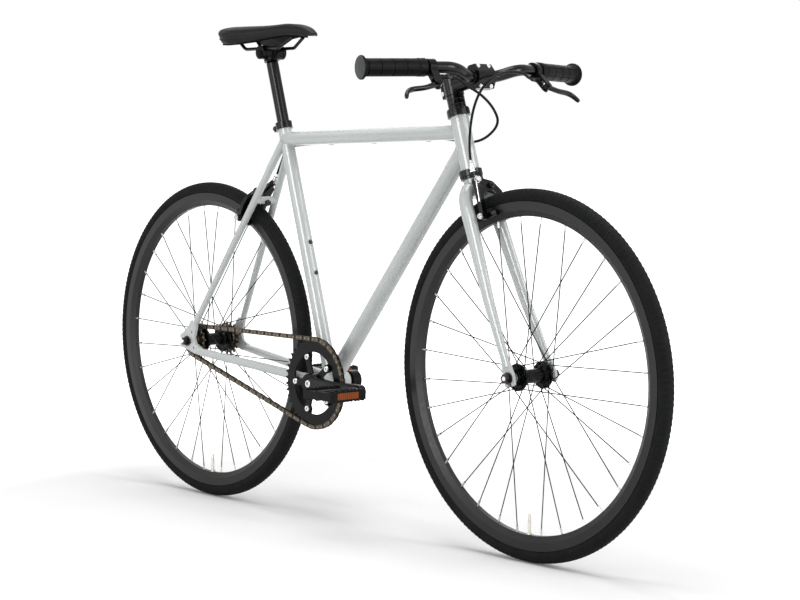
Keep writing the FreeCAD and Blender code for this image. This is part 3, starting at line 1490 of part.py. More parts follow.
corners = [(up, out) for up in (-1, 1) for out in (-1, 1)]
face_holes = [
    cylinder(f"face_hole_{index}", stem_bolt_point(up, out, -13), stem_ahead, s.bolt_radius + s.seat_clearance, 40)
    for index, (up, out) in enumerate(corners)]
steerer_clamp = cylinder("steerer_clamp", on_steerer(stem_low), steer_up, s.stem_clamp_radius, s.stem_clamp_height)
stem_tube = rod("stem_tube", on_steerer(stem_middle), bar_centre - stem_ahead * 14, s.stem_tube_radius)
stem_jaw = plate("stem_jaw", clamp_frame, s.bar_clamp_width, [
    (-SPLIT, -clamp_high), (-SPLIT, clamp_high), (-8, clamp_high), (-19, 13), (-19, -13), (-8, -clamp_high)])
pinch_frame = placed(on_steerer(stem_middle), steer_ahead, steer_up)
pinch_high = s.stem_clamp_height / 2
pinch_reach = s.stem_clamp_radius + 7
pinch_ear = box("pinch_ear", pinch_frame, (-pinch_reach, -9, -pinch_high), (-10, 9, pinch_high))
pinch_slit = box("pinch_slit", pinch_frame, (-pinch_reach - 1, -0.8, -pinch_high - 1),
                 (-s.steerer_radius + 2, 0.8, pinch_high + 1))
steerer_hole = cylinder("stem_steerer_hole", on_steerer(stem_low - 1), steer_up, race_inner, s.stem_clamp_height + 2)
PINCH_UP = 10


def pinch_point(up):
    return on_steerer(stem_middle + up * PINCH_UP, -s.stem_clamp_radius - 2)


pinch_holes = [
    across_cylinder(f"pinch_hole_{index}", pinch_point(up), s.bolt_radius + s.seat_clearance, 40)
    for index, up in enumerate((-1, 1))]
node("stem", cut("stem_drilled", joined_up("stem_whole", steerer_clamp, stem_tube, stem_jaw, pinch_ear),
                 steerer_hole, bar_hole, pinch_slit, *face_holes, *pinch_holes))
faceplate = plate("faceplate", clamp_frame, s.bar_clamp_width, [
    (SPLIT, -clamp_high), (FACE_FRONT, -clamp_high), (14, -13, (18.5, 0)), (14, 13), (FACE_FRONT, clamp_high),
    (SPLIT, clamp_high)])
bolt_seats = [
    cylinder(f"bolt_seat_{index}", stem_bolt_point(up, out, FACE_FRONT - 1), stem_ahead, s.bolt_head_radius + 0.4, 20)
    for index, (up, out) in enumerate(corners)]
node("stem_faceplate", cut("faceplate_drilled", faceplate, bar_hole, *face_holes, *bolt_seats))
stem_bolts = [
    bolt(f"face_bolt_{index}", stem_bolt_point(up, out, FACE_FRONT - 1 + 0.02), stem_ahead, 19)
    for index, (up, out) in enumerate(corners)]
stem_bolts += [
    bolt(f"pinch_bolt_{index}", pinch_point(up) - LEFT * 9.02, -LEFT, 17) for index, up in enumerate((-1, 1))]
node("stem_bolts", together("stem_screws", *stem_bolts))
node("top_cap", turned("cap", round_steerer(stem_high), [
    (0, 0.1), (s.stem_clamp_radius - 0.5, 0.1), (s.stem_clamp_radius - 0.5, 2), (s.stem_clamp_radius - 2, 3.5),
    (4.5, 3.5), (4.5, 5), (2, 5), (2, 3), (0, 3)]))

bar_sweep = math.radians(float(s.bar_sweep))
bend_across = float(s.bar_bend_reach)
bend_ahead = float(s.bar_bend_forward)
bar_rise = float(s.bar_rise)
bar_end_run = (float(s.bar_half_width) - bend_across) / math.cos(bar_sweep)


def sided(vector, side):
    return Vector(vector.x, side * vector.y, vector.z)


bar_out = unit(Vector(-math.sin(bar_sweep), math.cos(bar_sweep), -0.02))
bar_bend = bar_centre + Vector(bend_ahead, bend_across, bar_rise)
bar_flat = bar_centre + LEFT * (float(clamp_half) + 10)
bar_end = bar_bend + bar_out * bar_end_run
bar_route = [bar_end, bar_bend, bar_flat]
bar_route += [sided(point, -1) for point in reversed(bar_route)]
bar_radii = [radius * 0.85 for radius in widest_radii(bar_route)]
bar_outer = bent_rod("bar_outer", bar_route, s.bar_radius, bar_radii)
bar_inner = bent_rod("bar_inner", bar_route, s.bar_radius - s.bar_wall, bar_radii)
bar_bulge = across_cylinder("bar_bulge", bar_centre, s.bar_clamp_radius, s.bar_clamp_width + 8)
node("handlebar", cut("bar_hollow", joined_up("bar_whole", bar_outer, bar_bulge), bar_inner))


def on_bar(side, along_bar, drop=0.0, over=0.0):
    """A point by the straight end of the bar: outwards from the lever clamp, away from the bar, and up."""
    outward, away, upward = lever_axes(side)
    return sided(lever_centre, side) + outward * along_bar + away * drop + upward * over


def lever_axes(side):
    outward = sided(bar_out, side)
    drop = turned_in_plane(-float(s.lever_drop_angle))
    away = unit(drop - outward * drop.dot(outward))
    return outward, away, away.cross(outward) * side


lever_centre = bar_end - bar_out * (float(s.grip_length) + 12)
grips = []
for word, side in SIDES.items():
    outward = sided(bar_out, side)
    frame = along(sided(bar_end, side) - outward * float(s.grip_length), outward)
    grip_bore = s.bar_radius + s.seat_clearance
    flange_low = s.grip_length + 3 - s.grip_flange_thickness
    grips.append(turned(f"grip_{word}", frame, [
        (grip_bore, 0), (s.grip_radius + 1, 0), (s.grip_radius + 1, 6), (s.grip_radius, 8),
        (s.grip_radius, flange_low - 3), (s.grip_flange_radius, flange_low),
        (s.grip_flange_radius, s.grip_length + 1.5), (s.grip_flange_radius - 1.5, s.grip_length + 3),
        (0, s.grip_length + 3), (0, s.grip_length + 0.2), (grip_bore, s.grip_length + 0.2)]))
node("grips", together("grip_pair", *grips))

# steering: brake levers

EAR_IN = float(s.lever_thickness) / 2 + float(s.moving_gap)
EAR_OUT = EAR_IN + 3
PIN_RADIUS = 3
BARREL_DROP = 29


def lever_frame(side):
    """Own X axis outwards along the bar, own Y axis away from the bar, origin on the bar."""
    outward, away, upward = lever_axes(side)
    return placed(sided(lever_centre, side), outward, outward.cross(away))


def lever_bracket(word, side):
    """A clamp round the bar with two ears, a pivot pin and a barrel for the cable."""
    frame = lever_frame(side)
    outward, away, upward = lever_axes(side)
    reach = s.lever_reach
    width = s.lever_clamp_width / 2
    name = f"bracket_{word}"
    band = cylinder(f"{name}_band", on_bar(side, -float(width)), outward, s.lever_clamp_radius, s.lever_clamp_width)
    neck = box(f"{name}_neck", frame, (-width, 8, -EAR_OUT), (width, reach - 12, EAR_OUT))
    ears = []
    for index, (low, high) in enumerate(((-EAR_OUT, -EAR_IN), (EAR_IN, EAR_OUT))):
        ears.append(box(f"{name}_ear_{index}", frame, (-width, reach - 14, low), (width, reach, high)))
        place = frame.multVec(Vector(0, reach, low))
        ears.append(cylinder(f"{name}_round_{index}", place, outward.cross(away), width, high - low))
    pin = cylinder(f"{name}_pin", frame.multVec(Vector(0, reach, -EAR_OUT - 1)), outward.cross(away),
                   PIN_RADIUS, 2 * EAR_OUT + 2)
    barrel = cylinder(f"{name}_barrel", on_bar(side, -float(width) + 2, BARREL_DROP - 4), -outward, 5, 12)
    adjuster = cylinder(f"{name}_adjuster", on_bar(side, -float(width) - 9, BARREL_DROP - 4), -outward, 3.8, 9)
    bore = cylinder(f"{name}_bore", on_bar(side, -50), outward, s.bar_radius + s.seat_clearance, 100)
    return cut(name, joined_up(f"{name}_whole", band, neck, *ears, pin, barrel, adjuster), bore)


def lever(word, side):
    """A blade on the pivot pin that leans away from the grip and ends in a hook."""
    outward, away, upward = lever_axes(side)
    reach = s.lever_reach
    name = f"lever_{word}"
    tilt_open = math.radians(float(s.lever_open_angle))
    run = outward * math.cos(tilt_open) + away * math.sin(tilt_open)
    rise = away * math.cos(tilt_open) - outward * math.sin(tilt_open)
    pivot = on_bar(side, 0.0, float(reach))
    half = s.lever_thickness / 2
    # the flat of the blade faces across the pull, so its outline is drawn along the blade
    frame = placed(pivot - unit(run.cross(rise)) * float(half), run, run.cross(rise))
    length = s.lever_length
    points = [
        (0, -6, (-6, 0)), (0, 6), (16, 6), (length * 0.6, 4.5), (length - 14, 5, (length - 5, 8.5)),
        (length - 1, 15, (length + 3, 15.5)), (length + 4.5, 11.5, (length - 1, 0.5)), (length - 14, -5),
        (length * 0.6, -5), (16, -6)]
    blade = plate(f"{name}_blade", frame, s.lever_thickness, points)
    hole = cylinder(f"{name}_hole", pivot - run.cross(rise) * 20, run.cross(rise),
                    PIN_RADIUS + float(s.running_clearance), 40)
    return cut(name, blade, hole)


node("lever_brackets", together("brackets", *[lever_bracket(word, side) for word, side in SIDES.items()]))
for word, side in SIDES.items():
    node(f"brake_lever_{word}", lever(word, side))

# brakes: side-pull calipers

COLLAR = 10.0
ARM_ONE = COLLAR + float(s.moving_gap)
ARM_TWO = ARM_ONE + float(s.brake_arm_thickness) + float(s.moving_gap)
STACK = ARM_TWO + float(s.brake_arm_thickness) + float(s.moving_gap)
CABLE_ACROSS = -26
BARREL_LOW = 26
BARREL_HIGH = 42
pad_drop = s.brake_pivot_radius - s.brake_pad_radius
pad_face = s.rim_width / 2 + s.brake_pad_gap
pad_back = pad_face + s.brake_pad_thickness
leg_in = pad_back + 0.6
leg_out = leg_in + s.brake_arm_width
leg_foot = -pad_drop - 7


def caliper(prefix, frame, names):
    """Two arms on one bolt; own X axis leaves the frame, own Z axis points up from the wheel."""
    x_axis = frame.Rotation.multVec(FORWARD)
    y_axis = frame.Rotation.multVec(LEFT)
    z_axis = frame.Rotation.multVec(UP)
    outlines = {
        1: [(-31, 26), (-24, 36), (-5, 14), (4, 10), (20, 6), (leg_out, -8), (leg_out + 2, -24),
            (leg_out, leg_foot), (leg_in, leg_foot), (leg_in + 1, -27), (20, -15), (9, -9), (-7, -8), (-12, 6)],
        -1: [(7, 8), (-6, 11), (-30, 17), (-39, 10), (-leg_out - 2, -8), (-leg_out - 2, -24),
             (-leg_out, leg_foot), (-leg_in, leg_foot), (-leg_in - 1, -27), (-20, -15), (-9, -9), (7, -8)]}
    made = {}
    for way, low in ((1, ARM_ONE), (-1, ARM_TWO)):
        name = f"{prefix}_arm_{'near' if way > 0 else 'far'}"
        arm_frame = placed(frame.multVec(Vector(low, 0, 0)), y_axis, x_axis)
        leg = plate(f"{name}_plate", arm_frame, s.brake_arm_thickness, outlines[way])
        hole = cylinder(f"{name}_hole", frame.multVec(Vector(low - 5, 0, 0)), x_axis,
                        s.brake_bolt_radius + s.running_clearance, 30)
        middle = low + float(s.brake_arm_thickness) / 2
        post_hole = cylinder(f"{name}_post_hole", frame.multVec(Vector(middle, 0, -pad_drop)), y_axis * way,
                             3.05, 100)
        solids = [leg]
        if way > 0:
            solids.append(cylinder(f"{name}_barrel", frame.multVec(Vector(middle, CABLE_ACROSS, BARREL_LOW)),
                                   z_axis, 4.2, BARREL_HIGH - BARREL_LOW))
        else:
            solids.append(cylinder(f"{name}_anchor", frame.multVec(Vector(low, CABLE_ACROSS - 6, 11)), x_axis,
                                   4, s.brake_arm_thickness + 5))
        arm = cut(f"{name}_arm", joined_up(f"{name}_whole", *solids), hole, post_hole)
        pad_frame = placed(frame.multVec(Vector(middle, 0, -pad_drop)), x_axis, y_axis * way)
        half_length = s.brake_pad_length / 2
        half_height = s.brake_pad_height / 2
        block = box(f"{name}_pad_block", pad_frame, (-half_length, -half_height, pad_face),
                    (half_length, half_height, pad_back))
        post = cylinder(f"{name}_post", pad_frame.multVec(Vector(0, 0, pad_back - 1)), y_axis * way, 3,
                        s.brake_arm_width + 4)
        nut = cylinder(f"{name}_nut", pad_frame.multVec(Vector(0, 0, leg_out + 0.05)), y_axis * way, 5.5, 4)
        pad = joined_up(f"{name}_pad", block, post, nut)
        made[way] = together(name, arm, pad)
    for way, label in names.items():
        node(label, made[way])


def caliper_bolt(name, frame, depth):
    """A pivot bolt with a collar against the frame, a nut behind it and one in front of the arms."""
    radius = s.brake_bolt_radius
    return turned(name, placed(frame.Base, UP, frame.Rotation.multVec(FORWARD)), [
        (0, -depth - 6), (6, -depth - 6), (6, -depth - 0.1), (radius, -depth - 0.1), (radius, 0.1),
        (8, 0.1), (8, COLLAR), (radius, COLLAR), (radius, STACK), (6, STACK), (6, STACK + 5), (radius, STACK + 5),
        (radius, STACK + 8), (0, STACK + 8)])


crown_seat = s.crown_radius + 1.2
front_caliper = placed(on_steerer(front_brake_height, crown_seat), steer_ahead, steer_up)
caliper("front", front_caliper, {1: "front_caliper_arm_left", -1: "front_caliper_arm_right"})
node("front_brake_bolt", caliper_bolt("front_pivot_bolt", front_caliper, crown_seat * 2))
rear_caliper = placed(bridge_point + stay_back * float(s.bridge_diameter / 2), stay_back, stay_up)
caliper("rear", rear_caliper, {1: "rear_caliper_arm_right", -1: "rear_caliper_arm_left"})
node("rear_brake_bolt", caliper_bolt("rear_pivot_bolt", rear_caliper, s.bridge_diameter))

# brakes: cables

barrel_end = float(s.lever_clamp_width) / 2 + 18.5


def cable_start(side, extra=0.0):
    return on_bar(side, -barrel_end - extra, BARREL_DROP - 4)


def cable_stop(frame, extra=0.0):
    middle = ARM_ONE + float(s.brake_arm_thickness) / 2
    return frame.multVec(Vector(middle, CABLE_ACROSS, BARREL_HIGH + 0.4 + extra))


def by_bar(ahead, across, over):
    return bar_centre + Vector(ahead, across, over)


front_route = [
    cable_start(1), cable_start(1, 14), by_bar(40, 66, 10), by_bar(36, 16, 9), by_bar(27, -20, -15),
    by_bar(8, -26, -52), by_bar(-4, -25.5, -100), cable_stop(front_caliper, 18), cable_stop(front_caliper)]
node("front_brake_cable", cable("front_cable", front_route))

GUIDE_ACROSS = float(s.head_tube_diameter) / 2 + float(s.cable_diameter) / 2 + 2.2
guide_height = top_front + LEFT * GUIDE_ACROSS - UP * 18
tube_line = unit(top_rear - top_front)
tube_over = Vector(tube_line.z, 0, -tube_line.x)
CABLE_CLEAR = float(s.top_tube_diameter) / 2 + float(s.cable_diameter) / 2 + 0.5
cable_side = LEFT * (CABLE_CLEAR * math.cos(math.radians(40))) - tube_over * (
    CABLE_CLEAR * math.sin(math.radians(40)))


def by_tube(distance):
    """A point on the cable's line beside the top tube, counted back from the head tube."""
    return top_front + tube_line * distance + cable_side


tube_length = (top_rear - top_front).Length
guide_run = guide_height + tube_line * 14
loop_route = [
    cable_start(-1), cable_start(-1, 16), by_bar(27, -68, -15), by_bar(37, -36, -32), by_bar(39, -4, -58),
    by_bar(33, 16, -88), guide_height - tube_line * 28 - UP * 1, guide_height - tube_line * 0.2]
node("rear_brake_cable_loop", cable("rear_cable_loop", loop_route))
PASS_ACROSS = float(s.seat_tube_diameter) / 2 + float(s.cable_diameter) / 2 + 6
seat_pass = top_rear + LEFT * PASS_ACROSS - UP * 12
rear_route = [
    guide_height + tube_line * 0.2, guide_run, by_tube(60), by_tube(tube_length - 90),
    seat_pass + FORWARD * 24, seat_pass - FORWARD * 30 - UP * 4, cable_stop(rear_caliper, 40),
    cable_stop(rear_caliper)]
node("rear_brake_cable", cable("rear_cable", rear_route))

guides = []
for index, share in enumerate((0.2, 0.5, 0.75)):
    start = by_tube(tube_length * share)
    clip = ring(f"tube_clip_{index}", along(start, tube_line), s.cable_diameter / 2 + s.seat_clearance,
                s.cable_diameter / 2 + 2, 0, 8)
    foot = rod(f"clip_foot_{index}", start + tube_line * 4, start + tube_line * 4 - cable_side * 0.3, 3.5)
    hole = cylinder(f"clip_hole_{index}", start - tube_line, tube_line, s.cable_diameter / 2 + s.seat_clearance, 20)
    tube_room = cylinder(f"clip_room_{index}", top_front + tube_line * (tube_length * share - 10), tube_line,
                         s.top_tube_diameter / 2 + s.seat_clearance, 40)
    guides.append(cut(f"guide_{index}", joined_up(f"guide_whole_{index}", clip, foot), hole, tube_room))
eye_start = guide_height + tube_line * 1
eye_frame = placed(eye_start, UP, tube_line)
eye_ring = ring("guide_eye", eye_frame, s.cable_diameter / 2 + s.seat_clearance, s.cable_diameter / 2 + 2, 0, 9)
eye_foot = rod("guide_foot", eye_start + tube_line * 4.5 - LEFT * 2.6, eye_start + tube_line * 4.5 - LEFT * 9, 3.5)
eye_hole = cylinder("guide_hole", eye_start - tube_line, tube_line, s.cable_diameter / 2 + s.seat_clearance, 20)
head_room = cylinder("guide_room", on_steerer(head_low), steer_up, s.head_tube_diameter / 2 + s.seat_clearance,
                     s.head_tube_length)
guides.append(cut("guide_head", joined_up("guide_head_whole", eye_ring, eye_foot), eye_hole, head_room))
node("cable_guides", together("guides", *guides))

# seat

post_foot = seat_top - seat_up * float(s.seatpost_insertion)
post_top = s.seatpost_insertion + s.seatpost_exposed
CLAMP_NECK = 11.1
NECK_LENGTH = 23
post_wall_in = s.seatpost_diameter / 2 - s.seatpost_wall
node("seatpost", turned("post", placed(post_foot, seat_ahead, seat_up), [
    (post_wall_in, 0), (s.seatpost_diameter / 2, 0), (s.seatpost_diameter / 2, post_top - 4),
    (CLAMP_NECK, post_top), (CLAMP_NECK, post_top + NECK_LENGTH), (0, post_top + NECK_LENGTH),
    (0, post_top - 20), (post_wall_in, post_top - 20)]))

clamp_centre = post_foot + seat_up * float(post_top + NECK_LENGTH / 2 + 1)
rail_centre = clamp_centre + UP * float(s.rail_height)
rail_radius = s.rail_diameter / 2
DISC_RADIUS = 14
DISC_RISE = 7
saddle_tail = clamp_centre.x - float(s.saddle_set_back)


def saddle_point(ahead, across, over):
    """A point of the saddle: forward of its tail, left of the mid-plane, above the rails."""
    return Vector(saddle_tail + ahead * float(s.saddle_length) / 276, across, rail_centre.z + over)


rails = []
for word, side in SIDES.items():
    spread = side * float(s.rail_spread)
    route = [
        saddle_point(42, spread * 1.1, 17.2), saddle_point(62, spread, 0), saddle_point(176, spread * 0.92, 0),
        saddle_point(216, spread * 0.62, 19.5)]
    rails.append(bent_rod(f"rail_{word}", route, rail_radius, [18, 18]))
node("saddle_rails", together("rail_pair", *rails))

clamp_sleeve = cylinder("clamp_sleeve", clamp_centre - seat_up * 11, seat_up, 16, 21)
clamp_parts = [clamp_sleeve]
outer_discs = []
disc_centre = clamp_centre + UP * DISC_RISE
for word, side in SIDES.items():
    inner_edge = disc_centre + LEFT * (side * 8)
    clamp_parts.append(cylinder(f"clamp_disc_{word}", inner_edge, LEFT * side, DISC_RADIUS, float(s.rail_spread) - 9))
    outer_edge = disc_centre + LEFT * (side * (float(s.rail_spread) + 0.5))
    cheek = cylinder(f"clamp_cheek_{word}", outer_edge, LEFT * side, DISC_RADIUS, 7)
    washer = cylinder(f"clamp_washer_{word}", outer_edge - UP * 4 + LEFT * (side * 6), LEFT * side, 8, 4)
    stud = cylinder(f"clamp_stud_{word}", disc_centre + LEFT * (side * 17) - UP * 4, LEFT * side, 4,
                    float(s.rail_spread) - 5)
    outer_discs.append(joined_up(f"clamp_end_{word}", cheek, washer))
    clamp_parts.append(stud)
clamp_bore = cylinder("clamp_bore", clamp_centre - seat_up * 20, seat_up, CLAMP_NECK + s.seat_clearance, 60)
stud_holes = across_cylinder("clamp_stud_hole", disc_centre - UP * 4, 4.05, 200)
rail_rooms = []
for word, side in SIDES.items():
    spread = side * float(s.rail_spread)
    rail_rooms.append(rod(f"rail_room_{word}", saddle_point(62, spread, 0), saddle_point(176, spread * 0.92, 0),
                          rail_radius + s.seat_clearance))
clamp_body = cut("clamp_body", joined_up("clamp_whole", *clamp_parts), clamp_bore, *rail_rooms)
clamp_ends = [
    cut(f"clamp_end_cut_{index}", disc, stud_holes, *rail_rooms) for index, disc in enumerate(outer_discs)]
node("saddle_clamp", together("clamp_set", clamp_body, *clamp_ends))

# stations of the saddle: forward of its tail, half width, top and lower edge above the rails
SADDLE = [
    (0, 42, 43, 28), (4, 55, 46, 22), (12, 64.5, 47.5, 15), (26, 70, 48.5, 9.5), (48, 71.5, 48.5, 8),
    (82, 63, 48, 9.5), (118, 46, 47.5, 14), (155, 31, 48, 20), (195, 22.5, 49.5, 23.5), (232, 18, 45, 22),
    (256, 14.5, 38, 20.5), (270, 10, 30, 20), (276, 5, 26, 21.5)]
BASE_STATIONS = SADDLE[3:-3]
BASE_THICKNESS = 3.5
BASE_GAP = 0.4
RIM_SHARE = 0.9
width_share = float(s.saddle_width) / 143


def saddle_frame(ahead):
    return placed(saddle_point(ahead, 0, 0), LEFT, FORWARD)


def arched(half, low, across):
    """The height of the saddle's hollow underside at a distance from the mid-plane."""
    chord = half * RIM_SHARE
    arch = half * 0.22
    radius = (chord ** 2 + arch ** 2) / (2 * arch)
    return low + arch - radius + math.sqrt(radius ** 2 - across ** 2)


def cover_section(index, ahead, half, top, low):
    half = half * width_share
    rise = top - low
    shoulder = low + rise * 0.8
    rim = half * RIM_SHARE
    points = [
        (-rim, low, (0, arched(half, low, 0))), (rim, low, (half, low + rise * 0.42)),
        (half * 0.8, shoulder, (0, top)), (-half * 0.8, shoulder, (-half, low + rise * 0.42))]
    return section(f"cover_station_{index}", saddle_frame(ahead), points)


def base_section(index, ahead, half, low):
    half = half * width_share
    wide = half * 0.8
    low = low - BASE_GAP
    edge = arched(half, low, wide)
    middle = arched(half, low, 0)
    points = [
        (-wide, edge, (0, middle)), (wide, edge), (wide, edge - BASE_THICKNESS, (0, middle - BASE_THICKNESS)),
        (-wide, edge - BASE_THICKNESS)]
    return section(f"base_station_{index}", saddle_frame(ahead), points)


cover_sections = [cover_section(index, *station) for index, station in enumerate(SADDLE)]
node("saddle_cover", loft("saddle_cushion", cover_sections))
base_sections = [
    base_section(index, ahead, half, low) for index, (ahead, half, top, low) in enumerate(BASE_STATIONS)]
node("saddle_base", cut("saddle_tray", loft("saddle_tray_whole", base_sections), *rails))

# checks and export

doc.recompute()
failed = [item.Name for item in doc.Objects if "Invalid" in item.State or "Error" in item.State]
if failed:
    raise ValueError(f"features failed: {failed}")
for feature in nodes:
    if feature.Shape.isNull() or not feature.Shape.isValid():
        raise ValueError(f"{feature.Label} has no valid shape")
os.makedirs("parts", exist_ok=True)
for feature in nodes:
    feature.Shape.exportStep(os.path.join("parts", f"{feature.Label}.step"))
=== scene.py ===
"""Looks of a fixed gear bicycle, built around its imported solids."""
import json
import math

import bmesh
import bpy
from bpy.props import FloatProperty, FloatVectorProperty, IntProperty, PointerProperty
from mathutils import Matrix, Vector

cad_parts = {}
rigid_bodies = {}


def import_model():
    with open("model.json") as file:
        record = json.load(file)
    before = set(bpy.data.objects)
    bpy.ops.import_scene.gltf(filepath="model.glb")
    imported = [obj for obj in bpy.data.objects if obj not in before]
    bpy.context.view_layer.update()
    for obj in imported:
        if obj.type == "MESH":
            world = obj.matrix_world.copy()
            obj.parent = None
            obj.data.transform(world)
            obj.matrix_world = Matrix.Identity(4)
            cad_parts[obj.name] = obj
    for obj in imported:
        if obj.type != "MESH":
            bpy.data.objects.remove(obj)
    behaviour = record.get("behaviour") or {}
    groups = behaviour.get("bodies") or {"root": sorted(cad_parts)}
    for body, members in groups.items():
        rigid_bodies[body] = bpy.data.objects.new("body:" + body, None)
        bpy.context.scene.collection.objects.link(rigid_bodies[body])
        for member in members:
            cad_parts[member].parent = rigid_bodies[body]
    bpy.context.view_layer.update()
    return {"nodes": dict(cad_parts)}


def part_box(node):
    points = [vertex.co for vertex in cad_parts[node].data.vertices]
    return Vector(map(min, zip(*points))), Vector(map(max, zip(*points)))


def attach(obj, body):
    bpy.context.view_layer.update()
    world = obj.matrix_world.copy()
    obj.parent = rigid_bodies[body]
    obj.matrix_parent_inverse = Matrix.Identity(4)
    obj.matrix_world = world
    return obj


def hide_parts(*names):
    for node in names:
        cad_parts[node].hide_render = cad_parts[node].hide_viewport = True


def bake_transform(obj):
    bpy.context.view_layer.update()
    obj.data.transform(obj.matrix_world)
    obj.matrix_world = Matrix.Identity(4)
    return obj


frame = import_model()

bl_info = {
    "name": "Fixed Gear Bicycle",
    "version": (1, 0, 0),
    "blender": (4, 5, 0),
    "location": "View3D > Sidebar > Bicycle",
    "description": "Dresses the solids of a fixed gear bicycle with finishes and soft details",
    "category": "Object",
}

# places, directions and sizes in metres, in the frame of the solids, and the chain's counts

FRONT_AXLE = Vector((0.49, 0, 0.34))
REAR_AXLE = Vector((-0.49, 0, 0.34))
BRACKET = Vector((-0.07883, 0, 0.282))
STEER_FOOT = Vector((0.44697, 0, 0.32684))
STEER_UP = Vector((-0.292372, 0, 0.956305))
SEAT_UP = Vector((-0.285688, 0, 0.958323))
TOP_FRONT = Vector((0.3078, 0, 0.78204))
TOP_REAR = Vector((-0.22482, 0, 0.7717))
BAR_END = Vector((0.33188, 0.26597, 0.89411))
BAR_OUT = Vector((-0.224906, 0.974175, -0.019996))
RAIL_CENTRE = Vector((-0.27582, 0, 0.95776))
CROWN_RADIUS = 0.326
SECTION_RADIUS = 0.014
CHAIN_LINE = 0.045
CHAIN_PITCH = 0.0127
CHAIN_LINKS = 96
RING_TEETH = 44
COG_TEETH = 16
WHEELS = {"front": FRONT_AXLE, "rear": REAR_AXLE}
SIDES = {"right": -1, "left": 1}
ACROSS = Vector((0, 1, 0))
WHEEL_PLANE = (1, 0, 1)
QUARTER_TURN = (math.pi / 2, 0, 0)
CREASE = math.radians(35)


# settings

class PaintSettings(bpy.types.PropertyGroup):
    """Colours of the painted, coated and moulded pieces"""

    frame_light: FloatVectorProperty(
        name="Frame paint", description="Colour of the frame and fork paint", subtype="COLOR",
        default=(0.53, 0.56, 0.55), min=0, max=1)
    black: FloatVectorProperty(
        name="Black coat", description="Colour of the coated metal pieces", subtype="COLOR",
        default=(0.0045, 0.0045, 0.0048), min=0, max=1)
    tyre: FloatVectorProperty(
        name="Tyre rubber", description="Colour of the tyres", subtype="COLOR",
        default=(0.0095, 0.0098, 0.01), min=0, max=1)
    chain: FloatVectorProperty(
        name="Chain steel", description="Colour of the chain plates", subtype="COLOR",
        default=(0.09, 0.074, 0.056), min=0, max=1)
    amber: FloatVectorProperty(
        name="Reflector", description="Colour of the pedal reflectors", subtype="COLOR",
        default=(0.3, 0.062, 0.005), min=0, max=1)


class TreadSettings(bpy.types.PropertyGroup):
    """Sizes of the moulded blocks on the tyres' shoulders"""

    count: IntProperty(
        name="Blocks", description="Blocks in one row round a tyre", default=190, min=20, max=400)
    height: FloatProperty(
        name="Height", description="Thickness of a block, half of it proud", default=0.0006, unit="LENGTH")
    slant: FloatProperty(
        name="Slant", description="Turn of a block from straight across", default=math.radians(34),
        subtype="ANGLE")


class GripSettings(bpy.types.PropertyGroup):
    """Sizes of the rubber grips"""

    length: FloatProperty(
        name="Length", description="Length of a grip along the bar", default=0.127, unit="LENGTH")
    radius: FloatProperty(
        name="Radius", description="Radius of a grip's sleeve under its blocks", default=0.0152,
        unit="LENGTH")
    flange: FloatProperty(
        name="Flange", description="Radius of the disc at a grip's outer end", default=0.0218, unit="LENGTH")
    rows: IntProperty(name="Rows", description="Rows of blocks along a grip", default=4, min=2, max=40)
    around: IntProperty(name="Around", description="Blocks round a grip", default=6, min=4, max=40)
    proud: FloatProperty(
        name="Proud", description="Height of the blocks over the grooves", default=0.0011, unit="LENGTH")


class SaddleSettings(bpy.types.PropertyGroup):
    """Sizes of the saddle's cover"""

    length: FloatProperty(
        name="Length", description="From tail to nose", default=0.264, unit="LENGTH")
    set_back: FloatProperty(
        name="Set back", description="Tail behind the clamp", default=0.117, unit="LENGTH")
    channel: FloatProperty(
        name="Channel", description="Depth of the hollow along the middle", default=0.0035, unit="LENGTH")
    tail_lean: FloatProperty(
        name="Tail lean", description="How far the tail's lower edge is tucked under", default=0.014,
        unit="LENGTH")
    stitch: FloatProperty(
        name="Stitch", description="Spacing of the stitches", default=0.0042, unit="LENGTH")


class StageSettings(bpy.types.PropertyGroup):
    """Camera and lamps"""

    camera_place: FloatVectorProperty(
        name="Camera", description="Place of the camera", subtype="TRANSLATION",
        default=(3.13188, -2.6137, 0.7469))
    yaw: FloatProperty(
        name="Yaw", description="Heading of the view from forwards", default=math.radians(139.018),
        subtype="ANGLE")
    pitch: FloatProperty(
        name="Pitch", description="Rise of the view", default=math.radians(-4.141), subtype="ANGLE")
    lens: FloatProperty(name="Lens", description="Focal length in millimetres", default=92.62)
    card_power: FloatProperty(name="Cards", description="Power of the glint cards", default=105, unit="POWER")
    key_power: FloatProperty(name="Key lamp", description="Power of the lamp ahead", default=40, unit="POWER")
    top_power: FloatProperty(
        name="Top lamp", description="Power of the lamp overhead", default=72, unit="POWER")
    fill_power: FloatProperty(
        name="Fill lamp", description="Power of the side lamps", default=22, unit="POWER")
    floor: FloatVectorProperty(
        name="Floor", description="Colour of the floor", subtype="COLOR", default=(0.83, 0.83, 0.83))


# finishes

class NodeWriter:
    """Adds and links the nodes of one tree."""

    def __init__(self, tree):
        self.tree = tree

    def feed(self, socket, value):
        if isinstance(value, bpy.types.NodeSocket):
            self.tree.links.new(value, socket)
        else:
            socket.default_value = value

    def add(self, kind, inputs=None, **settings):
        made = self.tree.nodes.new(kind)
        for key, value in settings.items():
            setattr(made, key, value)
        for key, value in (inputs or {}).items():
            self.feed(made.inputs[key], value)
        return made

    def out(self, kind, inputs=None, **settings):
        """The first output of a new node."""
        return self.add(kind, inputs, **settings).outputs[0]

    def calc(self, operation, first, second=0.0):
        return self.out("ShaderNodeMath", {0: first, 1: second}, operation=operation)

    def seen_directly(self):
        """One for rays from the camera, off a gloss or through a clear piece, and zero for the others."""
        path = self.add("ShaderNodeLightPath")
        direct = self.calc("MAXIMUM", path.outputs["Is Camera Ray"], path.outputs["Is Glossy Ray"])
        return self.calc("MAXIMUM", direct, path.outputs["Is Transmission Ray"])


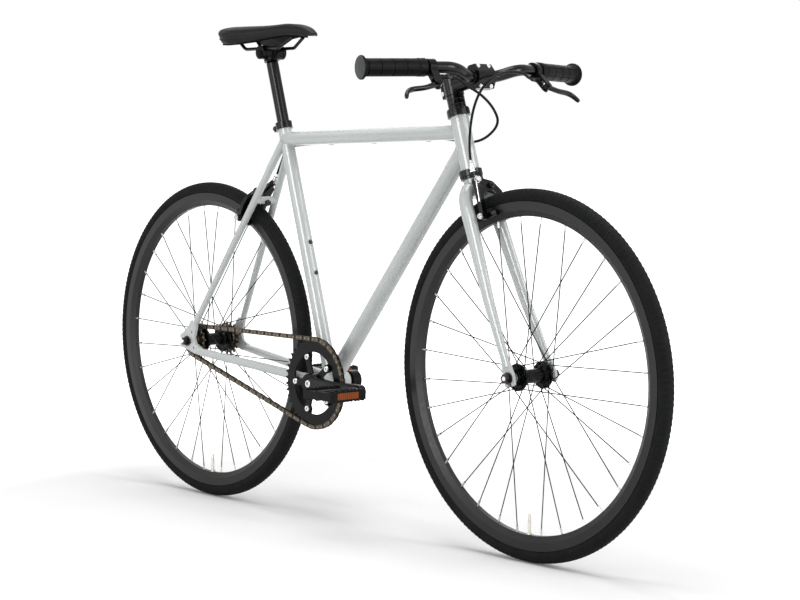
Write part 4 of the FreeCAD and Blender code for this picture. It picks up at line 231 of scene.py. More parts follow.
class Finish(NodeWriter):
    """A node material whose pattern is set in the frame of the piece."""

    def __init__(self, name):
        self.material = bpy.data.materials.new(name)
        self.material.use_nodes = True
        super().__init__(self.material.node_tree)
        self.surface = self.tree.nodes["Principled BSDF"]
        self.place = self.add("ShaderNodeTexCoord").outputs["Object"]

    def shade(self, **values):
        for key, value in values.items():
            self.feed(self.surface.inputs[key.replace("_", " ").title().replace("Ior", "IOR")], value)

    def noise(self, scale, detail, place=None):
        return self.out("ShaderNodeTexNoise", {
            "Vector": place or self.place, "Scale": scale, "Detail": detail})

    def cells(self, scale):
        return self.out("ShaderNodeTexVoronoi", {"Vector": self.place, "Scale": scale})

    def radius_from(self, centre, axes):
        """Distance from a plane, a line or a point, with the axes that count marked by ones."""
        offset = self.out("ShaderNodeVectorMath", {0: self.place, 1: centre}, operation="SUBTRACT")
        flat = self.out("ShaderNodeVectorMath", {0: offset, 1: axes}, operation="MULTIPLY")
        return self.add("ShaderNodeVectorMath", {0: flat}, operation="LENGTH").outputs["Value"]

    def waves(self, value, frequency):
        return self.calc("SINE", self.calc("MULTIPLY", value, frequency))

    def ramp(self, factor, *stops):
        made = self.add("ShaderNodeValToRGB", {"Fac": factor})
        band = made.color_ramp
        while len(band.elements) < len(stops):
            band.elements.new(0.5)
        for element, (position, value) in zip(band.elements, stops):
            element.position = position
            colour = (value,) * 3 if isinstance(value, (int, float)) else tuple(value)
            element.color = (*colour, 1)
        return made.outputs["Color"]

    def patchy(self, scale, detail, low, high, first=0.3, last=0.7):
        """Clouds between two values or colours."""
        return self.ramp(self.noise(scale, detail), (first, low), (last, high))

    def tone(self, colour, scale, detail, low, high, first=0.3, last=0.75):
        """Clouds between two shares of a colour."""
        return self.patchy(scale, detail, tinted(colour, low), tinted(colour, high), first, last)

    def between(self, value, first, second):
        """Runs from zero at a first value to one at a second."""
        return self.out("ShaderNodeMapRange", {"Value": value, "From Min": first, "From Max": second})

    def mixed(self, factor, first, second):
        made = self.add("ShaderNodeMix", {"Factor": factor}, data_type="RGBA")
        for slot, value in ((6, first), (7, second)):
            self.feed(made.inputs[slot], value if isinstance(value, bpy.types.NodeSocket) else (*value, 1))
        return made.outputs[2]

    def bump(self, height, strength, distance, edge=0.0):
        """Raises a height over the surface, and rounds its corners by an edge radius if one is given."""
        made = self.add("ShaderNodeBump", {"Height": height, "Strength": strength, "Distance": distance})
        if edge:
            self.feed(made.inputs["Normal"], self.out("ShaderNodeBevel", {"Radius": edge}, samples=6))
        self.feed(self.surface.inputs["Normal"], made.outputs["Normal"])
        return self.material


def tinted(colour, share):
    return tuple(min(1.0, part * share) for part in colour)


# corner radii of the coats and half width of the chain's inner links, which carry painted shade, in metres
PAINT_EDGE = 0.0012
ALLOY_EDGE = 0.0016
INNER_LINKS = (0.0028, 0.0029)
# distances from the axle between which a wheel's finishes change, in metres
TYRE_SIDE = (0.3325, 0.3305)
TYRE_CROWN = (0.336, 0.3398)
BRAKE_TRACK = (0.3035, 0.305)
NIPPLE = (0.2775, 0.2785)
TUBE_WALL = (0.2895, 0.2905)
# waves in a metre, times two pi
TYRE_RINGS = 1900.0
RIM_LINES = 5200.0
VALVE_THREAD = 7000.0


def enamel(name, colour, rough, peel, coat, shine=0.5):
    """Sprayed gloss paint with a slight orange peel and faint tone changes."""
    made = Finish(name)
    made.shade(base_color=made.tone(colour, 5, 2, 0.95, 1.04, last=0.7),
               roughness=made.patchy(30, 4, rough * 0.85, rough * 1.25, last=0.75),
               coat_weight=coat, coat_roughness=0.05, specular_ior_level=shine)
    return made.bump(made.noise(700, 2), peel, 0.0003, PAINT_EDGE)


def coated_alloy(name, colour, rough):
    """Black anodised or powder-coated alloy with fine grain and rubbed patches."""
    made = Finish(name)
    made.shade(base_color=made.tone(colour, 60, 5, 0.8, 1.7, first=0.35),
               roughness=made.patchy(140, 4, rough * 0.8, rough * 1.25), specular_ior_level=0.1)
    return made.bump(made.noise(2400, 2), 0.05, 0.0003, ALLOY_EDGE)


def bright_steel(name, colour, rough):
    """Plated steel with fine turning marks and a little tarnish."""
    made = Finish(name)
    marks = made.out("ShaderNodeMapping", {"Vector": made.place, "Scale": (1, 6, 1)})
    made.shade(base_color=made.tone(colour, 220, 4, 0.72, 1.0, 0.25, 0.65), metallic=1.0,
               roughness=made.ramp(made.noise(500, 3, marks), (0.3, rough * 0.7), (0.7, rough * 1.4)))
    return made.bump(made.noise(900, 2, marks), 0.08, 0.0002)


def shaded_link_chain(name, colour):
    """Bronze outer plates over inner links darkened with painted shade, standing for the gaps between the
    plates.
    """
    made = Finish(name)
    # near the chain's mid-plane the colour is painted shade for the gaps between the outer plates
    plate = made.between(made.radius_from((0, -CHAIN_LINE, 0), ACROSS), *INNER_LINKS)
    bronze = made.ramp(made.noise(260, 4), (0.28, tinted(colour, 0.45)), (0.5, tinted(colour, 0.9)),
                       (0.8, tinted(colour, 1.25)))
    made.shade(base_color=made.mixed(plate, made.tone(colour, 300, 3, 0.25, 0.6), bronze), metallic=0.85,
               roughness=made.patchy(420, 3, 0.26, 0.5, last=0.75))
    return made.bump(made.noise(1500, 2), 0.15, 0.0002)


def moulded_rubber(name, colour, rough, grain):
    """Matte rubber with a fine moulded grain and a dusty bloom."""
    made = Finish(name)
    made.shade(base_color=made.tone(colour, 26, 5, 0.8, 1.35, last=0.8),
               roughness=made.patchy(90, 3, rough - 0.08, rough + 0.08), specular_ior_level=0.08)
    return made.bump(made.noise(grain, 4), 0.15, 0.0004)


def tyre_rubber(name, colour, centre):
    """Tyre rubber with moulded rings on its sidewalls and a worn crown."""
    made = Finish(name)
    reach = made.radius_from(centre, WHEEL_PLANE)
    rings = made.calc("MULTIPLY", made.between(reach, *TYRE_SIDE), made.waves(reach, TYRE_RINGS))
    cloudy = made.tone(colour, 30, 5, 0.8, 1.25)
    made.shade(base_color=made.mixed(made.between(reach, *TYRE_CROWN), cloudy, tinted(colour, 1.3)),
               roughness=made.patchy(80, 3, 0.62, 0.8), specular_ior_level=0.06)
    return made.bump(made.calc("ADD", made.noise(1300, 4), rings), 0.35, 0.00025)


def rim_coat(name, colour, centre):
    """Satin black rim with fine turned lines and a slightly polished brake track."""
    made = Finish(name)
    reach = made.radius_from(centre, WHEEL_PLANE)
    polished = (0.3, 0.3, 0.3)
    dull = made.mixed(made.between(reach, *BRAKE_TRACK), made.patchy(120, 4, 0.36, 0.46), polished)
    made.shade(base_color=made.tone(colour, 14, 4, 1.7, 2.3), roughness=dull, specular_ior_level=0.24)
    return made.bump(made.waves(reach, RIM_LINES), 0.03, 0.0002)


def spoke_steel(name, centre):
    """Black spokes whose nipples at the rim are bright."""
    made = Finish(name)
    nipple = made.between(made.radius_from(centre, WHEEL_PLANE), *NIPPLE)
    dark, bright = made.patchy(300, 3, 0.004, 0.01), made.patchy(600, 3, 0.42, 0.66)
    made.shade(base_color=made.mixed(nipple, dark, bright), metallic=0.9,
               roughness=made.patchy(400, 3, 0.25, 0.38))
    return made.bump(made.noise(1800, 2), 0.05, 0.0002)


def valve_and_tube(name, centre):
    """Rubber tube with a plated valve inside the rim."""
    made = Finish(name)
    reach = made.radius_from(centre, WHEEL_PLANE)
    plated = made.patchy(500, 3, (0.42, 0.4, 0.36), (0.6, 0.58, 0.53))
    rubber = made.patchy(200, 3, 0.015, 0.03)
    made.shade(base_color=made.mixed(made.between(reach, *TUBE_WALL), plated, rubber),
               metallic=made.between(reach, *reversed(TUBE_WALL)), roughness=made.patchy(300, 3, 0.3, 0.42))
    return made.bump(made.waves(reach, VALVE_THREAD), 0.3, 0.0002)


def saddle_vinyl(name, colour):
    """Grained vinyl stretched over foam, a little shinier where it is rubbed."""
    made = Finish(name)
    made.shade(base_color=made.tone(colour, 22, 4, 0.85, 1.3), roughness=made.patchy(40, 4, 0.36, 0.52),
               specular_ior_level=0.16)
    return made.bump(made.calc("ADD", made.cells(1100), made.noise(420, 4)), 0.06, 0.0004)


def reflector_lens(name, colour):
    """Amber lens with rows of small prisms under a clear face."""
    made = Finish(name)
    across = made.out("ShaderNodeMapping", {"Vector": made.place, "Rotation": (0, math.radians(45), 0)})
    prisms = made.add("ShaderNodeTexChecker", {"Vector": across, "Scale": 420.0}).outputs["Fac"]
    made.shade(base_color=made.mixed(prisms, tinted(colour, 0.6), colour), specular_ior_level=0.15,
               roughness=made.patchy(200, 2, 0.1, 0.2))
    return made.bump(made.cells(460), 0.25, 0.0006)


def sleeve_plastic(name, colour, rough):
    """Moulded or drawn black plastic with faint flow marks."""
    made = Finish(name)
    made.shade(base_color=made.tone(colour, 45, 4, 0.8, 1.5), specular_ior_level=0.08,
               roughness=made.patchy(110, 3, rough * 0.85, rough * 1.2))
    return made.bump(made.noise(1600, 3), 0.08, 0.0003)


FINISHES = {}


def mix_finishes(paint):
    """All the finishes, by their plain names."""
    coat = tinted(paint.black, 0.5)
    rows = {
        "frame_paint": (enamel, tuple(paint.frame_light), 0.22, 0.005, 0.4),
        "gloss_black": (enamel, coat, 0.17, 0.004, 0.0, 0.2),
        "satin_black": (coated_alloy, coat, 0.3),
        "hub_black": (enamel, coat, 0.22, 0.004, 0.0, 0.1),
        "tread_rubber": (moulded_rubber, tinted(paint.tyre, 1.2), 0.72, 1500),
        "bright_steel": (bright_steel, (0.66, 0.66, 0.65), 0.24),
        "dark_steel": (bright_steel, (0.045, 0.044, 0.043), 0.32),
        "cog_steel": (bright_steel, (0.1, 0.08, 0.062), 0.36),
        "chain_steel": (shaded_link_chain, tuple(paint.chain)),
        "rivet_steel": (bright_steel, tinted(paint.chain, 2.6), 0.3),
        "grip_rubber": (moulded_rubber, (0.0035, 0.0035, 0.0038), 0.45, 1900),
        "grip_disc": (moulded_rubber, (0.085, 0.087, 0.088), 0.5, 1500),
        "saddle_vinyl": (saddle_vinyl, (0.0028, 0.0028, 0.003)),
        "saddle_thread": (moulded_rubber, (0.02, 0.02, 0.021), 0.7, 2500),
        "pedal_plastic": (sleeve_plastic, (0.006, 0.006, 0.0064), 0.4),
        "base_plastic": (moulded_rubber, (0.004, 0.004, 0.0042), 0.9, 900),
        "cable_sleeve": (sleeve_plastic, (0.006, 0.006, 0.0065), 0.3),
        "reflector": (reflector_lens, tuple(paint.amber)),
    }
    for wheel, axle in WHEELS.items():
        rows[f"{wheel}_rim_coat"] = (rim_coat, tinted(paint.black, 1.5), axle)
        rows[f"{wheel}_tyre_rubber"] = (tyre_rubber, tuple(paint.tyre), axle)
        rows[f"{wheel}_spoke_steel"] = (spoke_steel, axle)
        rows[f"{wheel}_valve"] = (valve_and_tube, axle)
    for name, (maker, *values) in rows.items():
        FINISHES[name] = maker(name, *values)


NODE_FINISH = {
    "frame_paint": ["main_triangle", "rear_triangle", "fork", "cable_guides"],
    "gloss_black": ["seatpost", "headset_cups", "headset_spacers", "stem", "stem_faceplate", "top_cap",
                    "handlebar", "seat_collar", "saddle_rails", "headset_bearings", "brake_lever_right",
                    "brake_lever_left", "front_caliper_arm_right", "front_caliper_arm_left",
                    "rear_caliper_arm_right", "rear_caliper_arm_left"],
    "satin_black": ["lever_brackets", "crank_arm_right", "crank_arm_left", "chainring", "saddle_clamp",
                    "bottom_bracket_cups"],
    "hub_black": ["front_hub", "rear_hub"],
    "bright_steel": ["rear_axle", "stem_bolts", "front_axle", "crank_bolts", "pedal_spindles",
                     "crank_spindle"],
    "dark_steel": ["rear_axle_nuts", "front_axle_nuts", "frame_bolts", "front_brake_bolt", "rear_brake_bolt"],
    "cog_steel": ["fixed_cog", "freewheel"],
    "chain_steel": ["chain"],
    "pedal_plastic": ["pedal_right", "pedal_left"],
    "reflector": ["pedal_reflectors_right", "pedal_reflectors_left"],
    "base_plastic": ["saddle_base"],
    "cable_sleeve": ["front_brake_cable", "rear_brake_cable", "rear_brake_cable_loop"],
    "grip_rubber": ["grips"],
    "saddle_vinyl": ["saddle_cover"],
    "front_rim_coat": ["front_rim"], "rear_rim_coat": ["rear_rim"],
    "front_tyre_rubber": ["front_tyre"], "rear_tyre_rubber": ["rear_tyre"],
    "front_spoke_steel": ["front_spokes"], "rear_spoke_steel": ["rear_spokes"],
    "front_valve": ["front_tube"], "rear_valve": ["rear_tube"],
}


# meshes and node trees

def piece(name, mesh, body, finish):
    """A mesh in the frame of the solids, riding on a body."""
    mesh.name = name
    mesh.materials.clear()
    mesh.materials.append(FINISHES[finish])
    made = bpy.data.objects.new(name, mesh)
    bpy.context.collection.objects.link(made)
    if body:
        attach(made, body)
    return made


def smooth(mesh):
    mesh.polygons.foreach_set("use_smooth", [True] * len(mesh.polygons))
    return mesh


def grid_mesh(name, rows, loop=False):
    """A closed skin through rings of points, with caps, or with the last ring looped back to the first."""
    mesh = bmesh.new()
    made = [[mesh.verts.new(point) for point in row] for row in rows]
    count = len(rows[0])
    following = made[1:] + made[:1] if loop else made[1:]
    for low, high in zip(made, following):
        for i in range(count):
            j = (i + 1) % count
            mesh.faces.new((low[i], low[j], high[j], high[i]))
    if not loop:
        mesh.faces.new(list(reversed(made[0])))
        mesh.faces.new(made[-1])
    bmesh.ops.recalc_face_normals(mesh, faces=mesh.faces)
    out = bpy.data.meshes.new(name)
    mesh.to_mesh(out)
    mesh.free()
    return out


def turned_rows(profile, segments):
    """Rings of points about +Y through (radius, height) pairs."""
    rows = []
    for radius, height in profile:
        turns = [2 * math.pi * i / segments for i in range(segments)]
        rows.append([Vector((radius * math.cos(turn), height, radius * math.sin(turn))) for turn in turns])
    return rows


def standing(origin, axis):
    """A matrix that carries +Y to an axis at an origin."""
    turn = ACROSS.rotation_difference(axis).to_matrix().to_4x4()
    return Matrix.Translation(origin) @ turn


def turned_mesh(name, profile, place, segments, loop=False, creased=True):
    """A smooth mesh turned through (radius, height) pairs, set in its place."""
    mesh = smooth(grid_mesh(name, turned_rows(profile, segments), loop))
    mesh.transform(place)
    if creased:
        mesh.set_sharp_from_angle(angle=CREASE)
    return mesh


def evaluated(holder):
    """The mesh that an object's curve or modifiers make. The object itself goes."""
    bpy.context.collection.objects.link(holder)
    bpy.context.view_layer.update()
    depsgraph = bpy.context.evaluated_depsgraph_get()
    mesh = bpy.data.meshes.new_from_object(holder.evaluated_get(depsgraph), depsgraph=depsgraph)
    bpy.data.batch_remove((holder, holder.data))
    return mesh


class Builder(NodeWriter):
    """A geometry node tree with named inputs for its sizes and its finish."""

    def __init__(self, name, **sockets):
        super().__init__(bpy.data.node_groups.new(name, "GeometryNodeTree"))
        face = self.tree.interface
        face.new_socket("Geometry", in_out="OUTPUT", socket_type="NodeSocketGeometry")
        face.new_socket("Geometry", in_out="INPUT", socket_type="NodeSocketGeometry")
        self.names = {}
        for key, kind in {**sockets, "finish": "Material"}.items():
            made = face.new_socket(key.title(), in_out="INPUT", socket_type=f"NodeSocket{kind}")
            self.names[key] = made.identifier
        self.inside = self.add("NodeGroupInput")
        self.outside = self.add("NodeGroupOutput")

    def given(self, key):
        return self.inside.outputs[key.title()]

    def end(self, points, instance, **inputs):
        """Instances on points, made real, painted and passed out."""
        spread = self.out("GeometryNodeInstanceOnPoints", {"Points": points, "Instance": instance, **inputs})
        real = self.out("GeometryNodeRealizeInstances", {"Geometry": spread})
        painted = self.out("GeometryNodeSetMaterial", {"Geometry": real, "Material": self.given("finish")})
        self.feed(self.outside.inputs[0], painted)
        return self


def block_ring_tree():
    """A ring of blocks about +Y, each leant and slanted."""
    made = Builder("block_ring", count="Int", radius="Float", start="Float", block="Vector", lean="Float",
                   slant="Float")
    circle = made.out("GeometryNodeMeshCircle", {
        "Vertices": made.given("count"), "Radius": made.given("radius")})
    shift = made.out("ShaderNodeCombineXYZ", {"Y": made.given("start")})
    spots = made.out("GeometryNodeTransform", {
        "Geometry": circle, "Translation": shift, "Rotation": QUARTER_TURN})
    place = made.out("GeometryNodeInputPosition")
    outward = made.out("ShaderNodeVectorMath", {0: place, 1: WHEEL_PLANE}, operation="MULTIPLY")
    turned = made.out("FunctionNodeAlignRotationToVector", {"Vector": outward}, axis="Z")
    turned = made.out("FunctionNodeAlignRotationToVector", {"Rotation": turned, "Vector": ACROSS}, axis="Y",
                      pivot_axis="Z")
    for axis, key in (("X", "lean"), ("Z", "slant")):
        angle = made.out("ShaderNodeCombineXYZ", {axis: made.given(key)})
        turned = made.out("FunctionNodeRotateRotation", {"Rotation": turned, "Rotate By": angle},
                          rotation_space="LOCAL")
    block = made.out("GeometryNodeMeshCube", {"Size": made.given("block")})
    return made.end(spots, block, Rotation=turned)


def bead_run_tree():
    """Beads set at even steps along the edges of a line."""
    made = Builder("bead_run", step="Float", bead="Vector")
    line = made.out("GeometryNodeMeshToCurve", {"Mesh": made.given("geometry")})
    even = made.out("GeometryNodeResampleCurve", {"Curve": line, "Length": made.given("step")}, mode="LENGTH")
    tangent = made.out("GeometryNodeInputTangent")
    facing = made.out("FunctionNodeAlignRotationToVector", {"Vector": tangent}, axis="X")
    ball = made.out("GeometryNodeMeshUVSphere", {"Segments": 8, "Rings": 6, "Radius": 1.0})
    soft = made.out("GeometryNodeSetShadeSmooth", {0: ball})
    return made.end(even, soft, Rotation=facing, Scale=made.given("bead"))


def stud_spots_tree():
    """Short round studs across the bicycle, one on each point."""
    made = Builder("stud_spots", radius="Float", depth="Float")
    stud = made.out("GeometryNodeMeshCylinder", {"Vertices": 10, "Radius": made.given("radius"),
                                                 "Depth": made.given("depth")})
    return made.end(made.given("geometry"), stud, Rotation=QUARTER_TURN)


TREES = {}
TREE_MAKERS = {"block_ring": block_ring_tree, "bead_run": bead_run_tree, "stud_spots": stud_spots_tree}


def line_mesh(runs):
    """Points joined by edges; each run is open."""
    points, edges = [], []
    for run in runs:
        first = len(points)
        points += [tuple(point) for point in run]
        edges += [(first + i, first + i + 1) for i in range(len(run) - 1)]
    mesh = bpy.data.meshes.new("line")
    mesh.from_pydata(points, edges, [])
    return mesh


def grown(tree, finish, runs=(), place=Matrix.Identity(4), **values):
    """The plain mesh that a tree makes from runs of points, set in its place."""
    if tree not in TREES:
        TREES[tree] = TREE_MAKERS[tree]()
    builder = TREES[tree]
    host = bpy.data.objects.new("seed", line_mesh(runs))
    modifier = host.modifiers.new("tree", "NODES")
    modifier.node_group = builder.tree
    for key, value in {**values, "finish": FINISHES[finish]}.items():
        modifier[builder.names[key]] = value
    mesh = evaluated(host)
    mesh.transform(place)
    if not mesh.polygons:
        raise RuntimeError(f"the tree {tree} made nothing")
    return mesh


def beaded(name, runs, body, slot, finish, **sizes):
    """A piece of beads along runs of points."""
    piece(name, grown("bead_run", finish, runs, **sizes), body, finish)


def merged(name, meshes):
    """Several meshes with one finish as one."""
    joined = bmesh.new()
    for mesh in meshes:
        joined.from_mesh(mesh)
        bpy.data.meshes.remove(mesh)
    out = bpy.data.meshes.new(name)
    joined.to_mesh(out)
    joined.free()
    return out


def turned_piece(name, profile, place, segments, body, finish="bright_steel", ribs=None, **form):
    """A steel piece turned through pairs in millimetres, with a ring of ribs if one is given."""
    profile = [(radius / 1000, height / 1000) for radius, height in profile]
    parts = [turned_mesh(name, profile, place, segments, **form)]
    if ribs:
        parts.append(grown("block_ring", finish, place=place, **ribs))
    piece(name, merged(name, parts), body, finish)


# pieces

class BICYCLE_OT_finishes(bpy.types.Operator):
    """Gives every solid its finish"""

    bl_idname = "bicycle.finishes"
    bl_label = "Finishes"

    def execute(self, context):
        mix_finishes(context.scene.bicycle_paint)
        left = set(frame["nodes"])
        for finish, names in NODE_FINISH.items():
            for name in names:
                mesh = frame["nodes"][name].data
                mesh.materials.clear()
                mesh.materials.append(FINISHES[finish])
                left.discard(name)
        if left:
            raise RuntimeError(f"no finish for {sorted(left)}")
        return {"FINISHED"}


# rows of tread blocks: degrees from the crown, length and width in metres, and the way they slant
TREAD_ROWS = ((26, 0.0044, 0.0026, 1), (44, 0.0046, 0.0026, 1), (63, 0.0044, 0.0022, -1))


class BICYCLE_OT_tread(bpy.types.Operator):
    """Adds the moulded shoulder blocks to both tyres"""

    bl_idname = "bicycle.tread"
    bl_label = "Tyre tread"

    def execute(self, context):
        tread = context.scene.bicycle_tread
        for wheel, axle in WHEELS.items():
            meshes = []
            for side in SIDES.values():
                for angle, length, width, lie in TREAD_ROWS:
                    turn = math.radians(angle)
                    meshes.append(grown(
                        "block_ring", "tread_rubber", place=Matrix.Translation(axle), count=tread.count,
                        radius=CROWN_RADIUS + SECTION_RADIUS * math.cos(turn),
                        start=side * SECTION_RADIUS * math.sin(turn), block=(width, length, tread.height),
                        lean=-side * turn, slant=side * lie * tread.slant))
            name = f"{wheel}_tread"
            piece(name, merged(name, meshes), f"{wheel}_wheel", "tread_rubber")
        return {"FINISHED"}


class BICYCLE_OT_grips(bpy.types.Operator):
    """Makes the two rubber grips with their blocks and end discs"""

    bl_idname = "bicycle.grips"
    bl_label = "Grips"

    BORE = 0.01116
    COLLAR = 0.0165
    GROOVE = 0.0013
    SLOPE = 0.0004
    END_CLEAR = 0.006
    FLANGE_BACK = 0.002
    BLOCK_STEPS = 9

    def stations(self, grip, low):
        """Height along a grip, rise over its sleeve, and whether blocks stand there."""
        bore = self.BORE - grip.radius
        flange = grip.flange - grip.radius
        spots = [(0.0, bore, 0), (0.0, 0.0012, 0), (0.001, 0.0018, 0), (0.0145, 0.0016, 0),
                 (0.0155, 0.0008, 0), (self.COLLAR, 0.0, 0)]
        pitch = (low - self.END_CLEAR - self.COLLAR) / grip.rows
        for row in range(grip.rows):
            first = self.COLLAR + row * pitch + self.GROOVE / 2
            last = first + pitch - self.GROOVE
            spots += [(first, 0.0, 0), (first + self.SLOPE, 0.0, 1)]
            spots += [(first + (last - first) * share, 0.0, 1) for share in (0.25, 0.5, 0.75)]
            spots += [(last - self.SLOPE, 0.0, 1), (last, 0.0, 0)]
        spots += [(low - 0.005, 0.0, 0), (low - 0.0028, 0.0015, 0), (low, flange - 0.001, 0),
                  (low + 0.0008, flange, 0), (low + 0.0035, flange, 0), (low + 0.0048, flange - 0.0012, 0),
                  (low + 0.0048, bore, 0)]
        return spots

    def sleeve_rows(self, grip, low):
        """Rings along a grip: a collar, rows of blocks parted by grooves, and a flange."""
        sector = 2 * math.pi / grip.around
        gap = self.GROOVE / 2 / grip.radius
        edge, top = sector / 2 - gap, sector - 2 * gap
        spots = [(-sector / 2 + gap * 0.7, 0), (-edge, 1)]
        spots += [(-edge + top * i / self.BLOCK_STEPS, 1) for i in range(1, self.BLOCK_STEPS)]
        spots += [(edge, 1), (sector / 2 - gap * 0.7, 0)]
        rows = []
        for height, rise, block in self.stations(grip, low):
            ring = []
            for index in range(grip.around):
                for spot, raised in spots:
                    turn = spot + sector * index
                    radius = grip.radius + rise + grip.proud * block * raised
                    ring.append(Vector((radius * math.cos(turn), height, radius * math.sin(turn))))
            rows.append(ring)
        return rows

    def execute(self, context):
        grip = context.scene.bicycle_grip
        low = grip.length - self.FLANGE_BACK
        disc_profile = [
            (grip.flange - 0.0012, low + 0.0048), (grip.flange - 0.003, low + 0.0052),
            (grip.flange - 0.0045, low + 0.0048), (grip.flange - 0.006, low + 0.0054), (0.004, low + 0.0058),
            (0.0005, low + 0.0058)]
        for word, side in SIDES.items():
            flip = Vector((1, side, 1))
            outward = BAR_OUT * flip
            place = standing(BAR_END * flip - outward * grip.length, outward)
            sleeve = smooth(grid_mesh(f"grip_{word}", self.sleeve_rows(grip, low), loop=True))
            sleeve.transform(place)
            sleeve.set_sharp_from_angle(angle=CREASE)
            body = piece(f"grip_{word}", sleeve, "steering", "grip_rubber")
            name = f"grip_disc_{word}"
            disc = turned_mesh(name, disc_profile, place, 48, creased=False)
            piece(name, disc, "steering", "grip_disc")
            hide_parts("grips")
        return {"FINISHED"}


# saddle stations: forward of the tail, half width, top and lower edge above the rails, in millimetres
SADDLE_STATIONS = [
    (0, 42, 43, 28), (4, 55, 46, 22), (12, 64.5, 47.5, 15), (26, 70, 48.5, 9.5), (48, 71.5, 48.5, 8),
    (82, 63, 48, 9.5), (118, 46, 47.5, 14), (155, 31, 48, 20), (195, 22.5, 49.5, 23.5), (232, 18, 45, 22),
    (256, 14.5, 38, 20.5), (270, 10, 30, 20), (276, 5, 26, 21.5)]


def saddle_station(ahead):
    """Half width, top and low edge of the saddle at a distance from its tail, on a smooth curve."""
    spots = SADDLE_STATIONS
    if ahead <= spots[0][0]:
        return spots[0][1:]
    for i in range(len(spots) - 1):
        if spots[i][0] <= ahead <= spots[i + 1][0]:
            break
    before, first = spots[max(i - 1, 0)], spots[i]
    second, after = spots[i + 1], spots[min(i + 2, len(spots) - 1)]
    gap = second[0] - first[0]
    t = (ahead - first[0]) / gap
    values = []
    for k in (1, 2, 3):
        enter = (second[k] - before[k]) / max(second[0] - before[0], 1e-6) * gap
        leave = (after[k] - first[k]) / max(after[0] - first[0], 1e-6) * gap
        values.append((2 * t ** 3 - 3 * t ** 2 + 1) * first[k] + (t ** 3 - 2 * t ** 2 + t) * enter
                      + (3 * t ** 2 - 2 * t ** 3) * second[k] + (t ** 3 - t ** 2) * leave)
    return values


